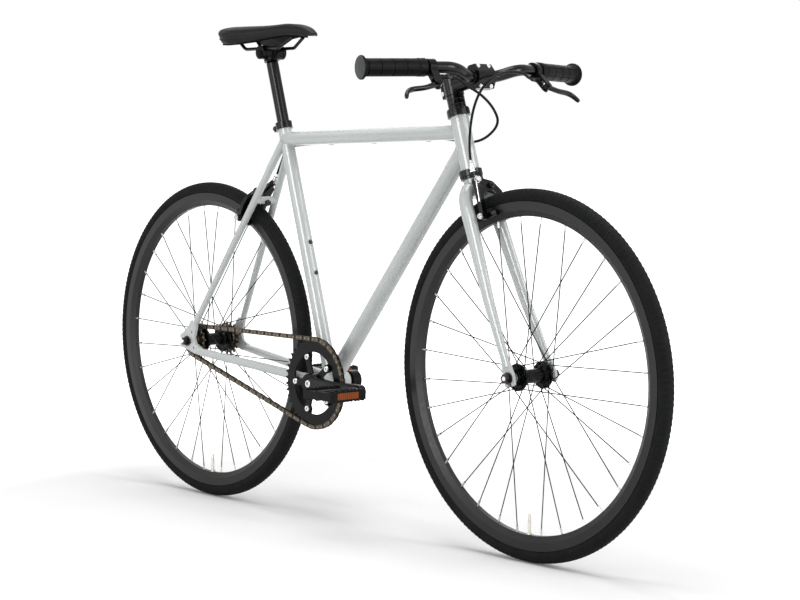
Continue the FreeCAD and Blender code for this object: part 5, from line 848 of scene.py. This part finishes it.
class BICYCLE_OT_saddle(bpy.types.Operator):
    """Makes the padded saddle cover with its channel, edge welt and stitches"""

    bl_idname = "bicycle.saddle"
    bl_label = "Saddle"

    # points over the top and under the base, and rings along the saddle in millimetres from the tail
    RING = 48
    UNDER = 12
    STEPS = (0, 1.5, 4, 8, 14, 22, 32, 44, 58, 74, 90, 106, 122, 138, 154, 170, 186, 202, 218, 234, 246,
             256, 264, 270, 274, 276)
    # how full the sides and the crown are, how far the lower edge tucks in, and how far the base arches
    SIDE_POWER, CROWN_POWER = 0.72, 0.5
    TUCK, TUCK_FROM = 0.1, 0.8
    ARCH = 0.2
    # ends of the channel with their fades, and how far the tail's lean reaches, in millimetres
    CHANNEL_ENDS, CHANNEL_FADES = (40, 235), (50, 60)
    LEAN_REACH = 100
    # half width of the channel: its least in millimetres, and the share of the half width that is added
    CHANNEL_LEAST, CHANNEL_SHARE = 4, 0.13
    # how steeply the way out of the skin rises: at the crown, and at the least
    RISE, RISE_LEAST = 1.2, 0.05
    # lanes of the stitches and the welt, as shares of the way from the middle to the edge
    STITCH_LANE, STITCH_SPREAD, WELT_LANE = 0.56, 0.1, 0.965
    # first points and steps of the lanes in millimetres, points in each, and points in which one spreads
    STITCH_FROM, WELT_FROM, LANE_STEP = 10, 4, 4
    STITCH_POINTS, WELT_POINTS, SPREAD_POINTS = 62, 67, 12
    # heights of the lanes over the skin, in metres
    STITCH_PROUD, WELT_PROUD = 0.0002, 0.0004

    def skin_point(self, saddle, ahead, turn, proud=0.0):
        """A point of the cover; turn runs from minus one at the left edge to one at the right edge."""
        half, top, low = saddle_station(ahead)
        swing = turn * math.pi * 0.5
        across = half * math.copysign(abs(math.sin(swing)) ** self.SIDE_POWER, turn) if turn else 0.0
        tuck = 1 - self.TUCK * max(0.0, abs(turn) - self.TUCK_FROM) / (1 - self.TUCK_FROM)
        crown = math.cos(swing) ** self.CROWN_POWER if abs(turn) < 1 else 0.0
        (start, end), (fade_in, fade_out) = self.CHANNEL_ENDS, self.CHANNEL_FADES
        along = min(max((ahead - start) / fade_in, 0), 1) * min(max((end - ahead) / fade_out, 0), 1)
        groove = math.exp(-(across / (self.CHANNEL_LEAST + half * self.CHANNEL_SHARE)) ** 2)
        over = low + (top - low) * crown - saddle.channel * 1000 * along * groove
        scale = saddle.length * 1000 / self.STEPS[-1]
        under = saddle.tail_lean * 1000 * (1 - crown) * max(0.0, 1 - ahead / self.LEAN_REACH) ** 2
        point = Vector((ahead * scale + under, -across * tuck, over)) / 1000
        tail = Vector((RAIL_CENTRE.x - saddle.set_back, 0, RAIL_CENTRE.z))
        rise = crown * self.RISE + self.RISE_LEAST
        outward = Vector((0, -across / max(half, 1), rise)).normalized()
        return tail + point + outward * proud

    def execute(self, context):
        saddle = context.scene.bicycle_saddle
        turns = [-1 + 2 * i / (self.RING - 1) for i in range(self.RING)]
        rows = []
        for ahead in self.STEPS:
            ring = [self.skin_point(saddle, ahead, turn) for turn in turns]
            left, right = ring[0], ring[-1]
            arch = saddle_station(ahead)[0] * self.ARCH / 1000
            for i in range(1, self.UNDER):
                share = i / self.UNDER
                point = right.lerp(left, share)
                point.z += arch * math.sin(math.pi * share)
                ring.append(point)
            rows.append(ring)
        mesh = smooth(grid_mesh("saddle_cover_skin", rows))
        cover = piece("saddle_cover_skin", mesh, None, "saddle_vinyl")
        rounder = cover.modifiers.new("round", "SUBSURF")
        rounder.levels = rounder.render_levels = 1
        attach(cover, "seat")
        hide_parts("saddle_cover")
        lanes, edges = [], []
        for side in SIDES.values():
            lane, edge = [], []
            for i in range(self.STITCH_POINTS):
                turn = self.STITCH_LANE + self.STITCH_SPREAD * min(1, i / self.SPREAD_POINTS)
                ahead = self.STITCH_FROM + self.LANE_STEP * i
                lane.append(self.skin_point(saddle, ahead, side * turn, self.STITCH_PROUD))
            for i in range(self.WELT_POINTS):
                ahead = self.WELT_FROM + self.LANE_STEP * i
                edge.append(self.skin_point(saddle, ahead, side * self.WELT_LANE, self.WELT_PROUD))
            lanes.append(lane)
            edges.append(edge)
        beaded("saddle_stitches", lanes, "seat", "saddle_vinyl", "saddle_thread", step=saddle.stitch,
               bead=(0.0015, 0.0005, 0.0005))
        beaded("saddle_welt", edges, "seat", "saddle_vinyl", "saddle_vinyl", step=0.0022,
               bead=(0.0026, 0.0011, 0.0011))
        return {"FINISHED"}


# cable routes, in metres: control points of smooth lines
FRONT_CABLE = [
    (0.38592, 0.10928, 0.87946), (0.38907, 0.09564, 0.87974), (0.3982, 0.066, 0.89252),
    (0.3942, 0.016, 0.89152), (0.3852, -0.02, 0.86752), (0.3662, -0.026, 0.83052), (0.3542, -0.0255, 0.78252),
    (0.35513, -0.026, 0.73838), (0.3604, -0.026, 0.72116)]
CABLE_LOOP = [
    (0.38592, -0.10928, 0.87946), (0.38952, -0.09369, 0.87978), (0.3852, -0.068, 0.86752),
    (0.3952, -0.036, 0.85052), (0.3972, -0.004, 0.82452), (0.3912, 0.016, 0.79452),
    (0.33579, 0.0227, 0.76359), (0.308, 0.0227, 0.76405)]
REAR_CABLE = [
    (0.3076, 0.0227, 0.76404), (0.2938, 0.0227, 0.76377), (0.24802, 0.01325, 0.76976),
    (0.21803, 0.01325, 0.76918), (-0.10463, 0.01325, 0.76291), (-0.13462, 0.01325, 0.76233),
    (-0.20082, 0.0228, 0.7597), (-0.25482, 0.0228, 0.7557), (-0.27382, 0.026, 0.7265),
    (-0.2949, 0.026, 0.69251)]
CABLE_DIAMETER = 0.005


def smooth_line(name, points, bevel):
    """A curve of one open smooth spline that follows its control points and ends on the outer two."""
    curve = bpy.data.curves.new(name, "CURVE")
    curve.dimensions = "3D"
    curve.resolution_u = 16
    curve.bevel_depth = bevel
    curve.bevel_resolution = 4
    curve.use_fill_caps = bevel > 0
    spline = curve.splines.new("NURBS")
    spline.points.add(len(points) - 1)
    for control, point in zip(spline.points, points):
        control.co = (*point, 1)
    spline.order_u = 3
    spline.use_endpoint_u = True
    return bpy.data.objects.new(name, curve)


def corded(name, points, diameter, body, finish):
    """A round tube on a smooth line, with the line's points and length."""
    path = evaluated(smooth_line(f"{name}_path", points, 0.0))
    route = [vertex.co.copy() for vertex in path.vertices]
    length = sum((b - a).length for a, b in zip(route, route[1:]))
    bpy.data.meshes.remove(path)
    tube = smooth(evaluated(smooth_line(name, points, diameter / 2)))
    return piece(name, tube, body, finish), route, length


# cables: the solid each stands for, the bodies at its ends, its route, the point from which it bends, its lay
CABLES = {
    "front_cable": ("front_brake_cable", ("steering", "front_arm_left"), FRONT_CABLE, -3, "hanging"),
    "cable_loop": ("rear_brake_cable_loop", ("steering", "frame"), CABLE_LOOP, 2, "hanging"),
    "rear_cable": ("rear_brake_cable", ("frame", "rear_arm_right"), REAR_CABLE, -3, "taut")}


class BICYCLE_OT_cables(bpy.types.Operator):
    """Makes the brake cables"""

    bl_idname = "bicycle.cables"
    bl_label = "Brake cables"

    def execute(self, context):
        for name, (node, bodies, points, bend_from, lay) in CABLES.items():
            made, route, length = corded(name, points, CABLE_DIAMETER, None, "cable_sleeve")
            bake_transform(made)
            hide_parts(node)
        return {"FINISHED"}


def mitre_run(point, heading, branch, main_point, main_axis, main, steps=72):
    """Where a round tube that leaves a point along a heading meets the outside of a main tube."""
    heading = heading.normalized()
    first = heading.cross(ACROSS if abs(heading.y) < 0.9 else Vector((1, 0, 0))).normalized()
    second = heading.cross(first)
    axis = main_axis.normalized()
    run = []
    for i in range(steps + 1):
        turn = 2 * math.pi * i / steps
        rim = point + first * (branch * math.cos(turn)) + second * (branch * math.sin(turn))
        offset = rim - main_point
        flat = offset - axis * offset.dot(axis)
        slope = heading - axis * heading.dot(axis)
        a, b, c = slope.dot(slope), 2 * flat.dot(slope), flat.dot(flat) - main ** 2
        square = b * b - 4 * a * c
        if square <= 0:
            continue
        run.append(rim + heading * ((-b + math.sqrt(square)) / (2 * a)))
    return run


# outside radii of the frame's tubes, and the down tube's place up the steering line, in metres
HEAD_RADIUS = 0.018
TOP_RADIUS = 0.0143
TOP_REAR_RADIUS = 0.0142
SEAT_RADIUS = 0.0143
DOWN_RADIUS = 0.0165
SHELL_RADIUS = 0.02
DOWN_HEIGHT = 0.445


class BICYCLE_OT_welds(bpy.types.Operator):
    """Adds painted weld beads where the frame's tubes meet"""

    bl_idname = "bicycle.welds"
    bl_label = "Weld beads"

    def execute(self, context):
        down_front = STEER_FOOT + STEER_UP * DOWN_HEIGHT
        head = (STEER_FOOT, STEER_UP, HEAD_RADIUS)
        seat = (BRACKET, SEAT_UP, SEAT_RADIUS)
        shell = (BRACKET, ACROSS, SHELL_RADIUS)
        runs = [
            mitre_run(TOP_FRONT, TOP_REAR - TOP_FRONT, TOP_RADIUS, *head),
            mitre_run(down_front, BRACKET - down_front, DOWN_RADIUS, *head),
            mitre_run(TOP_REAR, TOP_FRONT - TOP_REAR, TOP_REAR_RADIUS, *seat),
            mitre_run(BRACKET, down_front - BRACKET, DOWN_RADIUS, *shell),
            mitre_run(BRACKET, SEAT_UP, SEAT_RADIUS, *shell)]
        beaded("weld_beads", runs, "frame", "frame_paint", "frame_paint", step=0.0019,
               bead=(0.0017, 0.0015, 0.0015))
        return {"FINISHED"}


def chain_pins():
    """The pins of the chain in the mid-plane, from the foot of the chainring round."""
    reach = REAR_AXLE - BRACKET
    ring = CHAIN_PITCH / 2 / math.sin(math.pi / RING_TEETH)
    cog = CHAIN_PITCH / 2 / math.sin(math.pi / COG_TEETH)
    lean = math.asin((ring - cog) / reach.length)
    tilt = math.atan2(-reach.z, -reach.x)
    ring_links = RING_TEETH * (math.pi + 2 * lean) / (2 * math.pi)
    cog_links = COG_TEETH * (math.pi - 2 * lean) / (2 * math.pi)
    run_links = reach.length * math.cos(lean) / CHAIN_PITCH
    upper, lower = tilt + math.pi / 2 + lean, tilt - math.pi / 2 - lean

    def at(centre, radius, turn):
        return centre + Vector((math.cos(turn), 0, math.sin(turn))) * radius

    pins = []
    for count in range(CHAIN_LINKS):
        links = count - ring_links
        if links <= 0:
            pins.append(at(BRACKET, ring, lower + 2 * math.pi * count / RING_TEETH))
        elif links <= run_links:
            pins.append(at(BRACKET, ring, upper).lerp(at(REAR_AXLE, cog, upper), links / run_links))
        elif links <= run_links + cog_links:
            pins.append(at(REAR_AXLE, cog, upper + 2 * math.pi * (links - run_links) / COG_TEETH))
        else:
            share = (links - run_links - cog_links) / run_links
            pins.append(at(REAR_AXLE, cog, lower).lerp(at(BRACKET, ring, lower), share))
    return pins


class BICYCLE_OT_chain(bpy.types.Operator):
    """Adds the rivet heads on both sides of the chain"""

    bl_idname = "bicycle.chain"
    bl_label = "Chain rivets"

    HALF_WIDTH = 0.0039

    def execute(self, context):
        heads = []
        for side in SIDES.values():
            heads += [[pin + ACROSS * (side * self.HALF_WIDTH - CHAIN_LINE)] for pin in chain_pins()]
        rivets = grown("stud_spots", "rivet_steel", heads, radius=0.0018, depth=0.0007)
        piece("chain_rivets", rivets, "frame", "rivet_steel")
        return {"FINISHED"}


# lever blades: place along, place across, half depth and half width, in millimetres from the pivot
LEVER_PIVOT = Vector((0.39177, 0.13655, 0.86675))
LEVER_AWAY = Vector((0.68171, 0.14266, -0.71758))
LEVER_OPEN = math.radians(15)
BLADE = [
    (3.6, 0, 5.2, 4.3), (10, 0.2, 5.5, 4.4), (18, 1, 5, 4.4), (26, 1.6, 4.4, 4.5), (34, 1.4, 4.1, 4.7),
    (42, 0.6, 4, 4.9), (50, -0.6, 4, 5), (57, -1.4, 4.1, 5), (63, -1.4, 4.2, 5), (68.5, -0.4, 4.2, 4.9),
    (73.5, 1.8, 4, 4.7), (77.5, 5, 3.8, 4.5), (80.5, 8.6, 3.7, 4.3), (82.6, 11.6, 3.5, 3.9),
    (83.8, 13.4, 2.6, 2.9), (84.4, 14.3, 1, 1.2)]
# the eye round the pivot: radius and height in metres
LEVER_EYE = [
    (0.0035, -0.0042), (0.0058, -0.0042), (0.0063, -0.0037), (0.0063, 0.0037),
    (0.0058, 0.0042), (0.0035, 0.0042)]


class BICYCLE_OT_levers(bpy.types.Operator):
    """Makes the curved blades of the brake levers"""

    bl_idname = "bicycle.levers"
    bl_label = "Brake levers"

    SEGMENTS = 24
    SQUARENESS = 0.75

    def squared(self, value, half):
        return math.copysign(abs(value) ** self.SQUARENESS, value) * half

    def execute(self, context):
        for word, side in SIDES.items():
            flip = Vector((1, side, 1))
            outward, away, pivot = BAR_OUT * flip, LEVER_AWAY * flip, LEVER_PIVOT * flip
            run = outward * math.cos(LEVER_OPEN) + away * math.sin(LEVER_OPEN)
            rise = away * math.cos(LEVER_OPEN) - outward * math.sin(LEVER_OPEN)
            flat = run.cross(rise)
            rows = []
            for index, (x, y, depth, width) in enumerate(BLADE):
                last, following = BLADE[max(index - 1, 0)], BLADE[min(index + 1, len(BLADE) - 1)]
                lean = math.atan2(following[1] - last[1], following[0] - last[0]) if index else 0.0
                across = rise * math.cos(lean) - run * math.sin(lean)
                ring = []
                for step in range(self.SEGMENTS):
                    turn = 2 * math.pi * step / self.SEGMENTS
                    deep, wide = self.squared(math.cos(turn), depth), self.squared(math.sin(turn), width)
                    ring.append(pivot + (run * x + rise * y + across * deep + flat * wide) / 1000)
                rows.append(ring)
            blade = smooth(grid_mesh("blade", rows))
            eye = turned_mesh("eye", LEVER_EYE, standing(pivot, flat), 32, loop=True)
            made = piece(f"lever_blade_{word}", merged("blade", [blade, eye]), f"lever_{word}",
                         "gloss_black")
            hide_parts(f"brake_lever_{word}")
        return {"FINISHED"}


def rounded_copy(node, radius):
    """A solid's mesh with its flat faces joined and its corners rounded."""
    source = bpy.data.objects[node]
    work = bmesh.new()
    work.from_mesh(source.data)
    work.transform(source.matrix_world)
    bmesh.ops.remove_doubles(work, verts=work.verts, dist=1e-6)
    bmesh.ops.dissolve_limit(work, angle_limit=math.radians(4), verts=work.verts, edges=work.edges)
    mesh = bpy.data.meshes.new(f"{node}_rounded")
    work.to_mesh(mesh)
    work.free()
    holder = bpy.data.objects.new("holder", mesh)
    rounder = holder.modifiers.new("corners", "BEVEL")
    rounder.width = radius
    rounder.segments = 3
    rounder.limit_method = "ANGLE"
    rounder.angle_limit = math.radians(40)
    return evaluated(holder)


class BICYCLE_OT_arms(bpy.types.Operator):
    """Makes the brake arms with rounded corners"""

    bl_idname = "bicycle.arms"
    bl_label = "Brake arms"

    CORNER = 0.0016

    def execute(self, context):
        for end in WHEELS:
            for word in SIDES:
                node = f"{end}_caliper_arm_{word}"
                mesh = smooth(rounded_copy(node, self.CORNER))
                mesh.set_sharp_from_angle(angle=math.radians(30))
                made = piece(f"{end}_arm_{word}_forged", mesh, f"{end}_arm_{word}",
                             "gloss_black")
                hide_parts(node)
        return {"FINISHED"}


# brakes: origin in metres, way out from the frame, way up from the wheel, arm by the cable, arm by the anchor
BRAKES = {
    "front": ((0.35912, 0, 0.67643), (0.956305, 0, 0.292372), (-0.292372, 0, 0.956305), "front_arm_left",
              "front_arm_right"),
    "rear": ((-0.3051, 0, 0.64894), (-0.849783, 0, 0.527133), (0.527133, 0, 0.849783), "rear_arm_right",
             "rear_arm_left")}
# spots in a brake's own frame, and turned profiles as radius and height, in millimetres
ADJUSTER_SPOT = (14.3, -26, 0)
ANCHOR_SPOT = (0, -32, 11)
PAD_HEIGHT = -57
NEAR_PAD, FAR_PAD = 14.3, 22.6
WIRE_ROUTE = [
    (14.3, -26, 27), (14.6, -26, 22), (28.2, -30, 19), (29, -36.6, 12), (28.6, -37, 4), (28.2, -37.5, -14),
    (27.6, -38, -30)]
WIRE_DIAMETER = 0.0016
BARREL = [
    (4.3, 29), (5.7, 29.3), (5.7, 31.4), (4.3, 31.8), (4.3, 34), (5.3, 34.4), (5.3, 40), (4.6, 40.8),
    (4.4, 42.3)]
BARREL_RIBS = dict(count=22, radius=0.0053, start=0.0372, block=(0.0008, 0.0046, 0.0007))
WASHER = [(4.02, 26.75), (6.6, 26.75), (6.6, 27.8), (4.02, 27.8)]
NUT = [(4.02, 29.4), (5.4, 29.4), (5.8, 29.8), (5.8, 33), (5.3, 33.6), (3.2, 33.6), (2.8, 34.4), (0.2, 34.6)]
PAD_SCREW = [(5.6, 38.1), (5.6, 39), (4.6, 39.1), (4.6, 41.4), (4, 42), (2.7, 42), (2.5, 40), (0.2, 40)]
WIRE_CAP = [(0.7, -1), (1.2, -0.8), (1.2, 7), (0.9, 7.4)]
FERRULE = [
    (2.6, -0.4), (3.4, -0.3), (3.6, 0.4), (3.6, 3.6), (3.2, 4.2), (3.2, 7.8), (3, 8.6), (2.6, 8.8)]
FERRULE_RIBS = dict(count=16, radius=0.0036, start=0.002, block=(0.0006, 0.0028, 0.0005))


class BICYCLE_OT_brakes(bpy.types.Operator):
    """Adds the adjusters, wires and bright screws of both brakes"""

    bl_idname = "bicycle.brakes"
    bl_label = "Brake hardware"

    def execute(self, context):
        for end, (origin, out, up, near, far) in BRAKES.items():
            out, up = Vector(out), Vector(up)
            across = up.cross(out)

            def spot(x, y, z):
                return Vector(origin) + (out * x + across * y + up * z) / 1000

            turned_piece(f"{end}_adjuster", BARREL, standing(spot(*ADJUSTER_SPOT), up), 28, near,
                         ribs=BARREL_RIBS, loop=True)
            anchor = standing(spot(*ANCHOR_SPOT), out)
            turned_piece(f"{end}_anchor_washer", WASHER, anchor, 28, far, loop=True)
            turned_piece(f"{end}_anchor_nut", NUT, anchor, 6, far)
            for word, body, depth, way in (("near", near, NEAR_PAD, 1), ("far", far, FAR_PAD, -1)):
                place = standing(spot(depth, 0, PAD_HEIGHT), across * way)
                turned_piece(f"{end}_pad_screw_{word}", PAD_SCREW, place, 24, body)
            route = [tuple(spot(*point)) for point in WIRE_ROUTE]
            wire, line, length = corded(f"{end}_wire", route, WIRE_DIAMETER, far,
                                        "bright_steel")
            last = Vector(route[-2]) - Vector(route[-1])
            turned_piece(f"{end}_wire_cap", WIRE_CAP, standing(Vector(route[-1]), last.normalized()), 12, far)
        return {"FINISHED"}


class BICYCLE_OT_fittings(bpy.types.Operator):
    """Adds the ferrules on the cable ends and the teeth on the pedals"""

    bl_idname = "bicycle.fittings"
    bl_label = "Fittings"

    TOOTH_INSET = 0.0045
    TOOTH_MARGIN = 0.01

    def ferrule(self, name, tip, inner, body, finish):
        """A knurled cap from the cable's tip towards an inner point."""
        tip, inner = Vector(tip), Vector(inner)
        turned_piece(name, FERRULE, standing(tip, (inner - tip).normalized()), 20, body, finish, FERRULE_RIBS,
                     loop=True, creased=False)

    def execute(self, context):
        self.ferrule("ferrule_front_brake", FRONT_CABLE[-1], FRONT_CABLE[-2], "front_arm_left",
                     "bright_steel")
        self.ferrule("ferrule_rear_brake", REAR_CABLE[-1], REAR_CABLE[-2], "rear_arm_right", "bright_steel")
        self.ferrule("ferrule_left_lever", FRONT_CABLE[0], FRONT_CABLE[1], "steering", "dark_steel")
        self.ferrule("ferrule_right_lever", CABLE_LOOP[0], CABLE_LOOP[1], "steering", "dark_steel")
        for word in SIDES:
            low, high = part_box(f"pedal_{word}")
            runs = []
            for x in (low.x + self.TOOTH_INSET, high.x - self.TOOTH_INSET):
                for z in (low.z, high.z):
                    runs.append([Vector((x, low.y + self.TOOTH_MARGIN, z)),
                                 Vector((x, high.y - self.TOOTH_MARGIN, z))])
            beaded(f"pedal_teeth_{word}", runs, f"pedal_{word}_body", "black_plastic", "pedal_plastic",
                   step=0.0085, bead=(0.0016, 0.0024, 0.0014))
        return {"FINISHED"}


class BICYCLE_OT_stage(bpy.types.Operator):
    """Sets the pale floor, the soft lamps and the camera"""

    bl_idname = "bicycle.stage"
    bl_label = "Stage"

    MIDDLE = (0, 0, 0.5)
    FLOOR_REACH = 60
    FLOOR_DROP = 0.0006
    GLOW_FROM, GLOW_TO, GLOW_LEAST = 0.9, 1.9, 0.03
    AMBIENT = 0.52
    SENSOR = 36
    SHIFT = 0.0031
    WHITE = (1, 1, 1, 1)
    CARD_WIDTH, CARD_HEIGHT = 1.5, 2.2
    # glint cards: name, place, and share of the full width and power
    CARDS = (("card_right", (0.9, -3.6, 1.4), 1.0), ("card_ahead", (3.6, 1.7, 1.6), 0.6))

    def lamp(self, name, place, aim, size, power):
        light = bpy.data.lights.new(name, "AREA")
        light.shape = "RECTANGLE"
        light.size, light.size_y = size
        light.energy = power
        made = bpy.data.objects.new(name, light)
        made.location = place
        made.rotation_euler = (Vector(aim) - Vector(place)).to_track_quat("-Z", "Y").to_euler()
        bpy.context.collection.objects.link(made)
        return made

    def lay_floor(self, colour):
        """A wide floor that keeps the shadow near the bicycle and turns white further out."""
        reach = self.FLOOR_REACH
        corners = [(-reach, -reach, 0), (reach, -reach, 0), (reach, reach, 0), (-reach, reach, 0)]
        mesh = bpy.data.meshes.new("floor")
        mesh.from_pydata(corners, [], [(0, 1, 2, 3)])
        floor = bpy.data.objects.new("floor", mesh)
        floor.location.z = -self.FLOOR_DROP
        bpy.context.collection.objects.link(floor)
        made = Finish("floor_sweep")
        made.shade(base_color=(*colour, 1), roughness=0.9, specular_ior_level=0.0)
        rise = made.out("ShaderNodeMapRange", {
            "Value": made.radius_from((0, 0, 0), (1, 1, 0)), "From Min": self.GLOW_FROM,
            "From Max": self.GLOW_TO, "To Min": self.GLOW_LEAST})
        share = made.calc("MULTIPLY", made.seen_directly(), rise)
        glow = made.out("ShaderNodeEmission", {"Color": self.WHITE, "Strength": share})
        both = made.out("ShaderNodeAddShader", {0: made.surface.outputs[0], 1: glow})
        made.feed(made.tree.nodes["Material Output"].inputs["Surface"], both)
        mesh.materials.append(made.material)

    def light_world(self, scene):
        """A world that is white where it is seen and softer where it lights."""
        world = bpy.data.worlds.new("studio")
        scene.world = world
        world.use_nodes = True
        made = NodeWriter(world.node_tree)
        ground = made.tree.nodes["Background"]
        level = made.out("ShaderNodeMapRange", {
            "Value": made.seen_directly(), "To Min": self.AMBIENT, "To Max": 1.0})
        made.feed(ground.inputs["Color"], self.WHITE)
        made.feed(ground.inputs["Strength"], level)

    def set_camera(self, scene, stage):
        camera = bpy.data.cameras.new("camera")
        camera.lens = stage.lens
        camera.sensor_width = self.SENSOR
        camera.shift_x = self.SHIFT
        camera.clip_end = 200
        eye = bpy.data.objects.new("camera", camera)
        eye.location = stage.camera_place
        level = math.cos(stage.pitch)
        view = Vector((math.cos(stage.yaw) * level, math.sin(stage.yaw) * level, math.sin(stage.pitch)))
        eye.rotation_euler = view.to_track_quat("-Z", "Y").to_euler()
        bpy.context.collection.objects.link(eye)
        scene.camera = eye

    def execute(self, context):
        stage = context.scene.bicycle_stage
        context.scene.view_settings.view_transform = "Standard"
        self.lay_floor(stage.floor)
        self.light_world(context.scene)
        self.lamp("key", (3.7, 0.2, 2.1), self.MIDDLE, (1.6, 2.4), stage.key_power)
        for name, place, share in self.CARDS:
            size = (self.CARD_WIDTH * share, self.CARD_HEIGHT)
            card = self.lamp(name, place, self.MIDDLE, size, stage.card_power * share)
            card.visible_diffuse = False
            card.visible_transmission = False
        self.lamp("top", (0.1, -0.1, 3.4), (0.1, -0.1, 0), (2.4, 1.8), stage.top_power)
        self.lamp("fill_right", (-1.6, -3.4, 1.7), self.MIDDLE, (1.6, 2.2), stage.fill_power)
        self.lamp("fill_left", (-2.4, 3.2, 1.9), self.MIDDLE, (1.6, 2.2), stage.fill_power)
        self.set_camera(context.scene, stage)
        return {"FINISHED"}


class BICYCLE_PT_pieces(bpy.types.Panel):
    """Lists the steps that dress the bicycle"""

    bl_idname = "BICYCLE_PT_pieces"
    bl_label = "Bicycle"
    bl_space_type = "VIEW_3D"
    bl_region_type = "UI"
    bl_category = "Bicycle"

    def draw(self, context):
        for operator in OPERATORS:
            self.layout.operator(operator.bl_idname)
        for name, kind in SETTINGS.items():
            box = self.layout.box()
            settings = getattr(context.scene, name)
            for key in kind.__annotations__:
                box.prop(settings, key)


SETTINGS = {
    "bicycle_paint": PaintSettings, "bicycle_tread": TreadSettings, "bicycle_grip": GripSettings,
    "bicycle_saddle": SaddleSettings, "bicycle_stage": StageSettings}
OPERATORS = (
    BICYCLE_OT_finishes, BICYCLE_OT_stage, BICYCLE_OT_cables, BICYCLE_OT_tread, BICYCLE_OT_grips,
    BICYCLE_OT_saddle, BICYCLE_OT_welds, BICYCLE_OT_chain, BICYCLE_OT_levers, BICYCLE_OT_arms,
    BICYCLE_OT_brakes, BICYCLE_OT_fittings)


def register():
    for kind in (*SETTINGS.values(), *OPERATORS, BICYCLE_PT_pieces):
        bpy.utils.register_class(kind)
    for name, kind in SETTINGS.items():
        setattr(bpy.types.Scene, name, PointerProperty(type=kind))


def unregister():
    for name in SETTINGS:
        delattr(bpy.types.Scene, name)
    for kind in (BICYCLE_PT_pieces, *reversed(OPERATORS), *SETTINGS.values()):
        bpy.utils.unregister_class(kind)


def main():
    register()
    bpy.ops.bicycle.finishes()
    bpy.ops.bicycle.stage()
    bpy.ops.bicycle.cables()
    bpy.ops.bicycle.tread()
    bpy.ops.bicycle.grips()
    bpy.ops.bicycle.saddle()
    bpy.ops.bicycle.welds()
    bpy.ops.bicycle.chain()
    bpy.ops.bicycle.levers()
    bpy.ops.bicycle.arms()
    bpy.ops.bicycle.brakes()
    bpy.ops.bicycle.fittings()
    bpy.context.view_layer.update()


if __name__ == "__main__":
    main()
